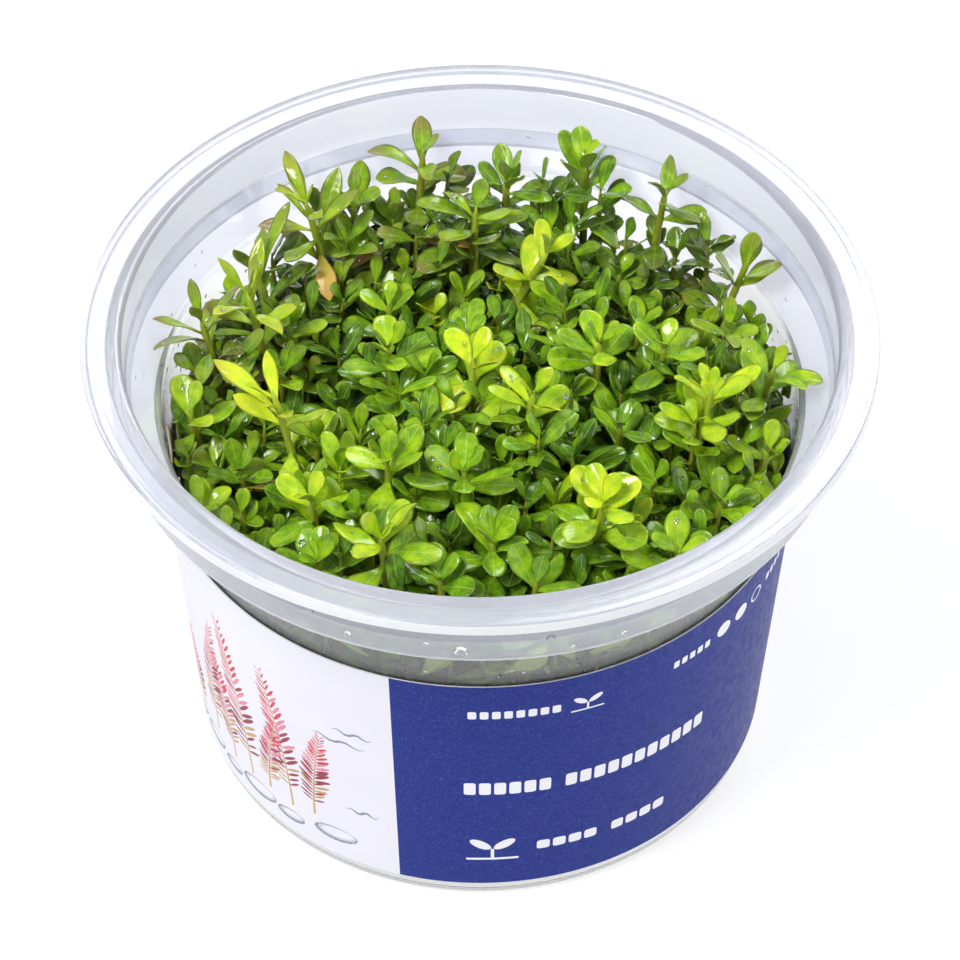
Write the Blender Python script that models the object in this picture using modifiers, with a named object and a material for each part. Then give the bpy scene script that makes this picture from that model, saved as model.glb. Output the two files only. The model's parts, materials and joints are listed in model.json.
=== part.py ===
"""Young rotala in its culture cup: a clear flanged cup with a paper label, a bed of gel and the shoots rooted in it.

Units are metres, +Z is up, and the origin is the middle of the cup's foot, on the surface that it stands on.
"""

import itertools
import math

import bmesh
import bpy
from mathutils import Matrix, Vector
from mathutils.bvhtree import BVHTree

MM = 0.001

# The cup: a turned shell with a sealing flange, a skirt under it, a sloped shoulder and a tapered wall.
CUP_HEIGHT = 67.1 * MM
FLANGE_RADIUS = 50.5 * MM
FLANGE_THICKNESS = 0.9 * MM
LIP_DROP = 1.7 * MM
LIP_WALL = 0.8 * MM
MOUTH_RADIUS = 45.2 * MM
SKIRT_RADIUS = 46.8 * MM
SKIRT_DEPTH = 10.4 * MM
SHOULDER_TOP = 5.6 * MM
SHOULDER_DEPTH = 11.4 * MM
FOOT_RADIUS = 37.3 * MM
WALL_SLOPE = 0.077
WALL = 0.8 * MM
FLOOR = 1.0 * MM
FOOT_RECESS = 0.8 * MM
FOOT_WIDTH = 3.0 * MM
SIDES = 36

# The paper label round the tapered wall.
LABEL_BOTTOM = 3.1 * MM
LABEL_TOP = 45.4 * MM
LABEL_GAP = 0.15 * MM
LABEL_THICKNESS = 0.2 * MM

# The gel bed that fills the foot of the cup, and the sockets that the stems stand in.
GAP = 0.3 * MM
GEL_TOP = 15.0 * MM
SOCKET_DEPTH = 4.0 * MM

# What a leaf keeps clear of, and the blade's own shape as shares of its length and width.
LEAF_THICKNESS = 0.45 * MM
LEAF_CLEARANCE = 0.3 * MM
LEAF_REACH = 9.5 * MM
LEAF_ROOT = 0.14
ROOT_WIDTH = 0.3
WIDEST = 0.62
TIP_WIDTH = 0.5
RIM_CLEARANCE = 0.2 * MM

# The stem, the short stretch of it that a leaf pair grows from, and the top pairs that follow with none between.
STEM_RADIUS = 0.75 * MM
BUD_RADIUS = 0.2 * MM
NODE_HALF = 0.45 * MM
CROWDED = 3

# How far a blade arches over from root to tip, in degrees: the first pair's, and what each lower pair adds.
BEND_FIRST = 12.0
BEND_STEP = 6.0

# Each leaf pair from the tip down: distance below the tip, leaf length, leaf width, angle from the stem.
# Each pair is a quarter turn from the last.
PAIRS = (
    (0.5 * MM, 3.0 * MM, 1.9 * MM, 26.0),
    (1.9 * MM, 5.0 * MM, 3.1 * MM, 50.0),
    (3.9 * MM, 6.6 * MM, 3.9 * MM, 64.0),
    (6.6 * MM, 7.2 * MM, 4.1 * MM, 74.0),
    (10.2 * MM, 7.2 * MM, 4.0 * MM, 80.0),
    (14.4 * MM, 6.8 * MM, 3.7 * MM, 86.0),
    (19.0 * MM, 6.4 * MM, 3.4 * MM, 90.0),
    (24.0 * MM, 5.8 * MM, 3.1 * MM, 94.0),
    (29.4 * MM, 5.2 * MM, 2.8 * MM, 96.0),
)

# A leaf that would touch another is tried smaller, then steeper, then turned round the stem by these degrees.
SIZES_TRIED = (1.0, 0.86, 0.72, 0.6)
LIFTS_TRIED = (1.0, 0.68, 0.42)
TURNS_TRIED = (0.0, 13.0, -13.0, 27.0, -27.0)


class Habit:
    """How a kind of shoot grows: leaf size, leaf breadth, how far its leaves open, internode stretch, solid pairs."""

    def __init__(self, size, breadth, spread, stretch, pairs):
        self.size = size
        self.breadth = breadth
        self.spread = spread
        self.stretch = stretch
        self.pairs = pairs


HABITS = {
    "slim": Habit(1.12, 0.68, 0.90, 1.35, 6),
    "tall": Habit(1.00, 0.92, 1.00, 1.40, 6),
    "bud": Habit(1.00, 0.96, 0.55, 1.55, 6),
    "rosette": Habit(1.04, 1.00, 1.10, 1.00, 4),
    "low": Habit(0.88, 1.04, 1.10, 1.00, 4),
}

# Every shoot: tip x and y, how far the tip is below the rim, root x and y, all in millimetres,
# then the turn of its first leaf pair in degrees and its habit. The tallest and clearest come first.
SHOOTS = (
    (-7.5, 37.2, 3.4, -9.5, 33.0, 0.0, "tall"),
    (-22.9, 28.1, 4.0, -17.5, 29.5, 15.0, "slim"),
    (14.0, 35.6, 2.8, 13.5, 31.5, 20.0, "bud"),
    (24.4, 29.8, 3.4, 20.5, 27.5, -10.0, "tall"),
    (35.0, 17.5, 4.0, 27.0, 18.5, 5.0, "bud"),
    (-26.0, -8.8, 2.2, -19.5, -11.5, -8.0, "slim"),
    (9.0, 20.7, 6.0, -4.0, 19.5, 20.0, "tall"),
    (3.5, 33.5, 4.0, 3.0, 32.0, 15.0, "tall"),
    (29.3, -7.2, 3.0, 25.0, -6.5, 85.0, "tall"),
    (37.2, -2.7, 4.0, 32.0, -1.5, 50.0, "tall"),
    (15.2, -25.5, 4.5, 13.0, -22.5, 52.0, "rosette"),
    (-12.2, -31.0, 5.0, -10.5, -26.5, -35.0, "rosette"),
    (-2.0, -17.7, 7.0, -2.0, -16.0, 0.0, "rosette"),
    (6.8, -6.9, 4.0, 3.0, -7.5, 35.0, "tall"),
    (-0.9, 0.0, 5.0, -1.5, -1.5, 50.0, "rosette"),
    (-30.0, 12.8, 6.0, -25.5, 11.5, -25.0, "slim"),
    (-36.1, 11.1, 9.0, -31.0, 9.5, 90.0, "slim"),
    (1.6, -28.2, 9.0, 1.5, -24.5, 10.0, "rosette"),
    (-11.6, -16.8, 6.5, -10.5, -15.0, 80.0, "rosette"),
    (15.3, 4.0, 6.0, 14.0, 3.0, 20.0, "rosette"),
    (23.7, 5.1, 8.0, 21.5, 4.5, 65.0, "rosette"),
    (-11.8, 5.1, 8.0, -11.0, 4.0, 10.0, "rosette"),
    (-0.5, 28.5, 5.5, -2.0, 25.0, 60.0, "rosette"),
    (-37.3, -1.6, 13.0, -33.0, -1.5, 40.0, "rosette"),
    (24.7, -28.8, 10.0, 21.0, -25.5, 0.0, "rosette"),
    (-20.0, -29.6, 11.0, -17.5, -26.5, 20.0, "rosette"),
    (-4.9, -33.5, 10.0, -4.0, -30.5, 55.0, "rosette"),
    (6.9, -33.0, 11.0, 6.5, -29.5, 70.0, "rosette"),
    (36.5, -10.5, 11.0, 32.0, -9.5, 80.0, "rosette"),
    (-21.0, -20.0, 10.0, -19.5, -19.0, 65.0, "rosette"),
    (30.4, -18.4, 12.0, 27.0, -16.5, 20.0, "low"),
    (-33.7, -7.5, 17.0, -28.5, -7.0, 0.0, "low"),
    (17.8, -7.2, 10.0, 16.5, -7.0, 60.0, "low"),
    (-30.3, -15.8, 17.0, -26.5, -15.5, 45.0, "low"),
    (22.1, -14.5, 12.0, 20.5, -14.0, 30.0, "low"),
    (-18.1, 4.2, 18.0, -17.5, 3.5, 35.0, "low"),
    (18.5, 25.0, 14.0, 15.5, 22.5, 45.0, "low"),
    (-12.0, 18.0, 13.0, -10.5, 16.5, 75.0, "low"),
    (-1.5, 11.5, 12.0, -2.0, 10.0, 20.0, "low"),
    (21.0, 14.5, 13.0, 18.5, 13.0, 0.0, "low"),
    (-29.0, 21.5, 10.0, -25.0, 20.0, 30.0, "slim"),
)


def wall_radius(z):
    """Outside radius of the tapered wall at height z above the foot."""
    return FOOT_RADIUS + WALL_SLOPE * z


def inner_radius(z):
    """Inside radius of the cup at height z: the mouth, then the sloped shoulder, then the tapered wall."""
    wall_top = CUP_HEIGHT - SHOULDER_DEPTH
    if z <= wall_top:
        return wall_radius(z) - WALL
    share = min(1.0, (z - wall_top) / (SHOULDER_DEPTH - SHOULDER_TOP))
    return (wall_radius(wall_top) - WALL) * (1.0 - share) + (MOUTH_RADIUS - 0.2 * MM) * share


def clear_scene():
    """Removes every object of the startup scene."""
    for obj in list(bpy.data.objects):
        bpy.data.objects.remove(obj)


def material(name, colour, roughness, transmission=0.0, alpha=1.0):
    """A Principled material with the colour and finish of one part."""
    made = bpy.data.materials.new(name)
    made.use_nodes = True
    shader = made.node_tree.nodes["Principled BSDF"]
    shader.inputs["Base Color"].default_value = (*colour, 1.0)
    shader.inputs["Roughness"].default_value = roughness
    shader.inputs["Metallic"].default_value = 0.0
    shader.inputs["Transmission Weight"].default_value = transmission
    shader.inputs["Alpha"].default_value = alpha
    return made


def add_object(name, mesh, collection, finish):
    """Links a mesh as a named object with one material."""
    obj = bpy.data.objects.new(name, mesh)
    collection.objects.link(obj)
    mesh.materials.append(finish)
    return obj


def turned(name, profile, collection, finish):
    """A closed solid turned about Z from a profile of (radius, height) points, which runs down the outside."""
    mesh = bpy.data.meshes.new(name)
    work = bmesh.new()
    points = [work.verts.new((radius, 0.0, height)) for radius, height in profile]
    starts_on_axis = profile[0][0] == 0.0
    following = points[1:] if starts_on_axis else points[1:] + points[:1]
    for first, second in zip(points, following):
        work.edges.new((first, second))
    work.to_mesh(mesh)
    work.free()
    obj = add_object(name, mesh, collection, finish)
    screw = obj.modifiers.new("turn", "SCREW")
    screw.steps = screw.render_steps = SIDES
    screw.use_merge_vertices = True
    screw.merge_threshold = 0.00001
    screw.use_smooth_shade = True
    return obj


def cup_profile():
    """The shell's section, from the middle of the floor up the inside, over the flange and down the outside."""
    floor_top = FOOT_RECESS + FLOOR
    wall_top = CUP_HEIGHT - SHOULDER_DEPTH
    shoulder = CUP_HEIGHT - SHOULDER_TOP
    skirt = CUP_HEIGHT - SKIRT_DEPTH
    under_flange = CUP_HEIGHT - FLANGE_THICKNESS
    lip = CUP_HEIGHT - LIP_DROP
    inside = [
        (0.0, floor_top),
        (FOOT_RADIUS - WALL - 1.0 * MM, floor_top),
        (wall_radius(floor_top) - WALL, floor_top + 1.2 * MM),
        (wall_radius(wall_top) - WALL, wall_top),
        (MOUTH_RADIUS - 1.0 * MM, shoulder - 1.2 * MM),
        (MOUTH_RADIUS - 0.2 * MM, shoulder),
        (MOUTH_RADIUS, CUP_HEIGHT - 0.6 * MM),
        (MOUTH_RADIUS + 0.5 * MM, CUP_HEIGHT),
    ]
    flange = [
        (FLANGE_RADIUS - 0.4 * MM, CUP_HEIGHT),
        (FLANGE_RADIUS, CUP_HEIGHT - 0.4 * MM),
        (FLANGE_RADIUS, lip),
        (FLANGE_RADIUS - LIP_WALL, lip),
        (FLANGE_RADIUS - LIP_WALL, under_flange),
    ]
    outside = [
        (SKIRT_RADIUS + 0.3 * MM, under_flange),
        (SKIRT_RADIUS, skirt),
        (SKIRT_RADIUS - WALL, skirt),
        (SKIRT_RADIUS - WALL, shoulder - 1.6 * MM),
        (wall_radius(wall_top) + 0.4 * MM, wall_top + 0.4 * MM),
        (wall_radius(wall_top - 1.0 * MM), wall_top - 1.0 * MM),
        (wall_radius(0.9 * MM), 0.9 * MM),
        (FOOT_RADIUS - 0.7 * MM, 0.0),
        (FOOT_RADIUS - FOOT_WIDTH, 0.0),
        (FOOT_RADIUS - FOOT_WIDTH - 0.5 * MM, FOOT_RECESS),
        (0.0, FOOT_RECESS),
    ]
    return inside + flange + outside


def label_profile():
    """The paper label's section: a thin strip that lies along the tapered wall."""
    return [
        (wall_radius(LABEL_TOP) + LABEL_GAP + LABEL_THICKNESS, LABEL_TOP),
        (wall_radius(LABEL_BOTTOM) + LABEL_GAP + LABEL_THICKNESS, LABEL_BOTTOM),
        (wall_radius(LABEL_BOTTOM) + LABEL_GAP, LABEL_BOTTOM),
        (wall_radius(LABEL_TOP) + LABEL_GAP, LABEL_TOP),
    ]


def gel_profile():
    """The gel's section: a plug that follows the cup's wall, with its lower corner cut back over the floor's fillet."""
    bottom = FOOT_RECESS + FLOOR + GAP
    return [
        (0.0, GEL_TOP),
        (inner_radius(GEL_TOP) - GAP, GEL_TOP),
        (inner_radius(bottom) - GAP, bottom + 1.4 * MM),
        (inner_radius(bottom) - GAP - 1.4 * MM, bottom),
        (0.0, bottom),
    ]


class Shoot:
    """One shoot: its stem is a curve from a root in the gel to a tip, and its habit sets its leaves."""

    def __init__(self, tip_x, tip_y, drop, root_x, root_y, turn, habit):
        self.root = Vector((root_x * MM, root_y * MM, GEL_TOP - SOCKET_DEPTH))
        self.tip = Vector((tip_x * MM, tip_y * MM, CUP_HEIGHT - drop * MM))
        self.turn = math.radians(turn)
        self.habit = HABITS[habit]
        reach = self.tip - self.root
        self.middle = self.root + Vector((reach.x * 0.05, reach.y * 0.05, reach.z * 0.5))
        self.length = reach.length

    def point(self, share):
        """The point at this share of the way from root to tip."""
        lower = self.root.lerp(self.middle, share)
        upper = self.middle.lerp(self.tip, share)
        return lower.lerp(upper, share)

    def along(self, share):
        """The stem's direction there."""
        return (self.middle.lerp(self.tip, share) - self.root.lerp(self.middle, share)).normalized()

    def share_below_tip(self, drop):
        """The share of the way at this distance below the tip."""
        return max(0.0, 1.0 - drop / self.length)

    def pair_drop(self, pair):
        """How far below the tip this leaf pair grows."""
        return PAIRS[pair][0] * self.habit.stretch * self.habit.size

    def radius(self, share):
        """The stem's radius there: it thins towards the tip."""
        return STEM_RADIUS * (1.0 - 0.4 * share**3)

    def side(self, share, azimuth):
        """A unit vector square to the stem, facing this azimuth."""
        axis = self.along(share)
        flat = Vector((math.cos(azimuth), math.sin(azimuth), 0.0))
        return (flat - axis * flat.dot(axis)).normalized()

    def ring(self, share, radius):
        """Four corners round the stem there, whose flat sides face the leaf pairs."""
        corners = []
        for quarter in range(4):
            out = self.side(share, self.turn + math.radians(45.0 + 90.0 * quarter))
            corners.append(self.point(share) + out * radius)
        return corners

    def node_shares(self, pair):
        """Where the stretch of stem that this pair grows from starts and ends."""
        drop = self.pair_drop(pair)
        lower = drop + NODE_HALF if pair >= CROWDED - 1 else (drop + self.pair_drop(pair + 1)) / 2.0
        upper = drop - NODE_HALF if pair >= CROWDED or pair == 0 else (drop + self.pair_drop(pair - 1)) / 2.0
        return self.share_below_tip(lower), self.share_below_tip(upper)


class Leaf:
    """One leaf blade: it leaves the stem at a pitch, then arches over by its bend."""

    def __init__(self, shoot, pair, azimuth, scale, lift):
        _, length, width, pitch = PAIRS[pair]
        habit = shoot.habit
        share = shoot.share_below_tip(shoot.pair_drop(pair))
        axis = shoot.along(share)
        out = shoot.side(share, azimuth)
        lean = math.radians(pitch * lift * (habit.spread if pair < CROWDED else 1.0))
        self.shoot = shoot
        self.pair = pair
        self.start = shoot.point(share)
        self.heading = axis * math.cos(lean) + out * math.sin(lean)
        self.across = axis.cross(out).normalized()
        self.length = length * habit.size * scale
        self.width = width * habit.size * habit.breadth * scale
        self.bend = math.radians(BEND_FIRST + BEND_STEP * pair)

    def frame(self, share):
        """(point, up) of the blade's midline at this share of its length."""
        turned_by = self.bend * share
        forward = Matrix.Rotation(turned_by, 3, self.across) @ self.heading
        chord = Matrix.Rotation(turned_by / 2.0, 3, self.across) @ self.heading
        reach = self.length * share * math.sin(turned_by / 2.0) / (turned_by / 2.0)
        return self.start + chord * reach, forward.cross(self.across).normalized()

    def ring(self, share, width, thickness):
        """The four corners of the blade's section there, round the midline."""
        point, up = self.frame(share)
        half = self.across * (width / 2.0)
        rise = up * (thickness / 2.0)
        return [point - half + rise, point + half + rise, point + half - rise, point - half - rise]

    def hull(self, extra):
        """Corners and faces of a plain blade, swollen by extra, to test what it would touch."""
        thickness = LEAF_THICKNESS + extra
        corners = self.ring(LEAF_ROOT, self.width * ROOT_WIDTH + extra, thickness)
        corners += self.ring(WIDEST, self.width + extra, thickness)
        corners += self.ring(1.0 + extra / self.length, self.width * TIP_WIDTH + extra, thickness)
        faces = [(0, 1, 2, 3), (11, 10, 9, 8)]
        for start in (0, 4):
            for corner in range(4):
                after = (corner + 1) % 4
                faces.append((start + corner, start + 4 + corner, start + 4 + after, start + after))
        return corners, faces


def stem_tree(shoot):
    """A search tree over a square tube round the stem, wider than it by the clearance."""
    shares = [step / 10.0 for step in range(11)]
    corners = [corner for share in shares for corner in shoot.ring(share, STEM_RADIUS + LEAF_CLEARANCE)]
    faces = []
    for start in range(0, 4 * (len(shares) - 1), 4):
        for corner in range(4):
            after = (corner + 1) % 4
            faces.append((start + corner, start + after, start + 4 + after, start + 4 + corner))
    return BVHTree.FromPolygons(corners, faces)


def inside_cup(corners):
    """Whether the blade's corners, and the points halfway along its edges, keep clear of the cup and the gel."""
    along = [(first + second) / 2.0 for first, second in zip(corners, corners[4:])]
    for point in corners + along:
        if not GEL_TOP + 2.0 * MM < point.z < CUP_HEIGHT - RIM_CLEARANCE:
            return False
        if math.hypot(point.x, point.y) > inner_radius(point.z) - GAP:
            return False
    return True


def settle_leaves(shoots):
    """Gives each shoot its leaves, tips first. One that would touch another shrinks, lifts, turns or is left out."""
    trees = [stem_tree(shoot) for shoot in shoots]
    placed = []
    for pair in range(len(PAIRS)):
        for shoot in shoots:
            for side in (0, 1):
                azimuth = shoot.turn + math.pi * side + math.pi / 2.0 * pair
                leaf = settled(shoot, pair, azimuth, shoots, trees, placed)
                if leaf:
                    placed.append((leaf, leaf.frame(0.5)[0], BVHTree.FromPolygons(*leaf.hull(0.0))))
    return [leaf for leaf, _, _ in placed]


def settled(shoot, pair, azimuth, shoots, trees, placed):
    """The first of a leaf's sizes, lifts and turns that touches nothing, or None."""
    tries = itertools.product(SIZES_TRIED, LIFTS_TRIED, TURNS_TRIED)
    for scale, lift, turn in tries:
        leaf = Leaf(shoot, pair, azimuth + math.radians(turn), scale, lift)
        corners, faces = leaf.hull(LEAF_CLEARANCE)
        if not inside_cup(corners):
            continue
        tree = BVHTree.FromPolygons(corners, faces)
        centre = leaf.frame(0.5)[0]
        near = [other for _, place, other in placed if (place - centre).length < LEAF_REACH]
        near += [stem for owner, stem in zip(shoots, trees) if owner is not shoot]
        if not any(tree.overlap(other) for other in near):
            return leaf
    return None


def move_corners(face, corners):
    """Moves a four-sided face's corners to the given points, paired so that they travel least."""
    verts = [loop.vert for loop in face.loops]
    order = [verts[shift:] + verts[:shift] for shift in range(4)]
    best = min(order, key=lambda row: sum((vert.co - corner).length for vert, corner in zip(row, corners)))
    for vert, corner in zip(best, corners):
        vert.co = corner


def extrude(work, face, corners):
    """Extrudes a face to new corners and returns (end face, side faces)."""
    made = bmesh.ops.extrude_discrete_faces(work, faces=[face])["faces"][0]
    sides = [side for edge in made.edges for side in edge.link_faces if side is not made]
    move_corners(made, corners)
    return made, sides


def outward(face, corners):
    """The corners in their order or its reverse, whichever winds the same way as the face."""
    normal = (corners[1] - corners[0]).cross(corners[2] - corners[1])
    travel = sum(corners, Vector()) / 4.0 - face.calc_center_median()
    return corners if normal.dot(travel) > 0.0 else corners[::-1]


def grow_leaf(work, face, leaf):
    """Grows a blade out of a side face of the stem: out to its widest place, then in to a thin blunt tip."""
    middle, _ = extrude(work, face, outward(face, leaf.ring(WIDEST, leaf.width, LEAF_THICKNESS)))
    end = outward(middle, leaf.ring(1.0, leaf.width * TIP_WIDTH, LEAF_THICKNESS))
    tip, _ = extrude(work, middle, end)
    point, up = leaf.frame(1.0)
    for vert in tip.verts:
        vert.co -= up * (vert.co - point).dot(up)
    bmesh.ops.remove_doubles(work, verts=list(tip.verts), dist=0.01 * MM)


def shoot_mesh(name, shoot, leaves):
    """The mesh of one shoot: a four-sided stem, with its leaves grown out of its sides, all one skin."""
    work = bmesh.new()
    bmesh.ops.create_cone(work, cap_ends=True, segments=4, radius1=STEM_RADIUS, radius2=STEM_RADIUS, depth=MM)
    by_height = sorted(work.faces, key=lambda face: face.calc_center_median().z)
    bottom, top = by_height[0], by_height[-1]
    halfway = shoot.node_shares(shoot.habit.pairs - 1)[0] / 2.0
    move_corners(bottom, shoot.ring(0.0, STEM_RADIUS)[::-1])
    move_corners(top, shoot.ring(halfway, STEM_RADIUS))
    for pair in reversed(range(shoot.habit.pairs)):
        lower, upper = shoot.node_shares(pair)
        if pair >= CROWDED - 1:
            top, _ = extrude(work, top, shoot.ring(lower, shoot.radius(lower)))
        top, sides = extrude(work, top, shoot.ring(upper, shoot.radius(upper)))
        for leaf in (found for found in leaves if found.pair == pair):
            towards = leaf.frame(WIDEST)[0]
            sides.sort(key=lambda face: (face.calc_center_median() - towards).length)
            grow_leaf(work, sides.pop(0), leaf)
    extrude(work, top, shoot.ring(1.0, BUD_RADIUS))
    bmesh.ops.recalc_face_normals(work, faces=work.faces)
    mesh = bpy.data.meshes.new(name)
    work.to_mesh(mesh)
    work.free()
    return mesh


def cut_sockets(gel, shoots, cutters):
    """Cuts a socket into the gel for each stem, a gap wider than the stem all round."""
    work = bmesh.new()
    bottom = GEL_TOP - SOCKET_DEPTH - GAP
    size = STEM_RADIUS + 2.0 * GAP
    for shoot in shoots:
        middle = Matrix.Translation((shoot.root.x, shoot.root.y, bottom + SOCKET_DEPTH))
        turn = Matrix.Rotation(shoot.turn + math.radians(45.0), 4, "Z")
        bmesh.ops.create_cone(
            work, cap_ends=True, segments=4, radius1=size, radius2=size, depth=2.0 * SOCKET_DEPTH, matrix=middle @ turn
        )
    mesh = bpy.data.meshes.new("socket_cutter")
    work.to_mesh(mesh)
    work.free()
    cutter = bpy.data.objects.new("socket_cutter", mesh)
    cutters.objects.link(cutter)
    cutter.hide_render = True
    cutter.display_type = "WIRE"
    cut = gel.modifiers.new("sockets", "BOOLEAN")
    cut.operation = "DIFFERENCE"
    cut.object = cutter


def main():
    """Builds the cup, label, gel and shoots."""
    clear_scene()
    parts = bpy.data.collections.new("rotala")
    cutters = bpy.data.collections.new("cutters")
    for collection in (parts, cutters):
        bpy.context.scene.collection.children.link(collection)
    plastic = material("clear_plastic", (0.90, 0.91, 0.95), 0.25, transmission=0.8, alpha=0.45)
    paper = material("printed_paper", (0.05, 0.08, 0.33), 0.4)
    agar = material("agar", (0.80, 0.79, 0.72), 0.2, transmission=0.5, alpha=0.8)
    leafy = material("leafy", (0.20, 0.50, 0.04), 0.3)
    turned("cup", cup_profile(), parts, plastic)
    turned("label", label_profile(), parts, paper)
    gel = turned("gel", gel_profile(), parts, agar)
    shoots = [Shoot(*row) for row in SHOOTS]
    leaves = settle_leaves(shoots)
    cut_sockets(gel, shoots, cutters)
    for number, shoot in enumerate(shoots, start=1):
        name = f"shoot_{number:02d}"
        own = [leaf for leaf in leaves if leaf.shoot is shoot and leaf.pair < shoot.habit.pairs]
        add_object(name, shoot_mesh(name, shoot, own), parts, leafy)


if __name__ == "__main__":
    main()
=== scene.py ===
"""The looks of a young rotala in its culture cup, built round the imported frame.

The clear cup, the printed label, the gel, the shoots with all their leaves, the fine roots and the water
drops are modelled here. Each main piece stands for the node of the frame that it replaces. Units are metres,
+Z is up, and the origin is the middle of the cup's foot.
"""

from __future__ import annotations

import itertools
import json
import logging
import math
import random
from collections.abc import Iterable, Sequence
from dataclasses import dataclass, field
from enum import Enum

import bpy
import numpy as np
from mathutils import Matrix, Vector, geometry
from mathutils.bvhtree import BVHTree

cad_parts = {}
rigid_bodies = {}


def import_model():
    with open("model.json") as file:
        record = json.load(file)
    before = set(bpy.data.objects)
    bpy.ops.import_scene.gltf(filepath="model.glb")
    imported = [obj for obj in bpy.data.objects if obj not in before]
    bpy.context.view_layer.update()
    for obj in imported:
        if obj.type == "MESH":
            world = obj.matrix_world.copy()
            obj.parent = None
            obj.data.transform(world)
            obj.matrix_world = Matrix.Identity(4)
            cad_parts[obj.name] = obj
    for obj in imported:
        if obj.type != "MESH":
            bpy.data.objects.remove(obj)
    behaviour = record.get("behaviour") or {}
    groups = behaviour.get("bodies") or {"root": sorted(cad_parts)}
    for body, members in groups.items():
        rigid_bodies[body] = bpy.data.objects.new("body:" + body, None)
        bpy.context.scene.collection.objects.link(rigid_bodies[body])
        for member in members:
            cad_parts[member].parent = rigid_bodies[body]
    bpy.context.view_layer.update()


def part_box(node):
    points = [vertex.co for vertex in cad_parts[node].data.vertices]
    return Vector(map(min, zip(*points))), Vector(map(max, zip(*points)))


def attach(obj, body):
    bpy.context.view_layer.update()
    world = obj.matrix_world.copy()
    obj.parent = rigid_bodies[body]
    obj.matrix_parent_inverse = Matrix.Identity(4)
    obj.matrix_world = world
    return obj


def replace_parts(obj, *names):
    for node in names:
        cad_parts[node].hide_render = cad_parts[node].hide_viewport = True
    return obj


log = logging.getLogger("rotala")

MM = 0.001
SEED = 41

Colour = tuple[float, float, float]
Point2 = tuple[float, float]


# Materials

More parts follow.
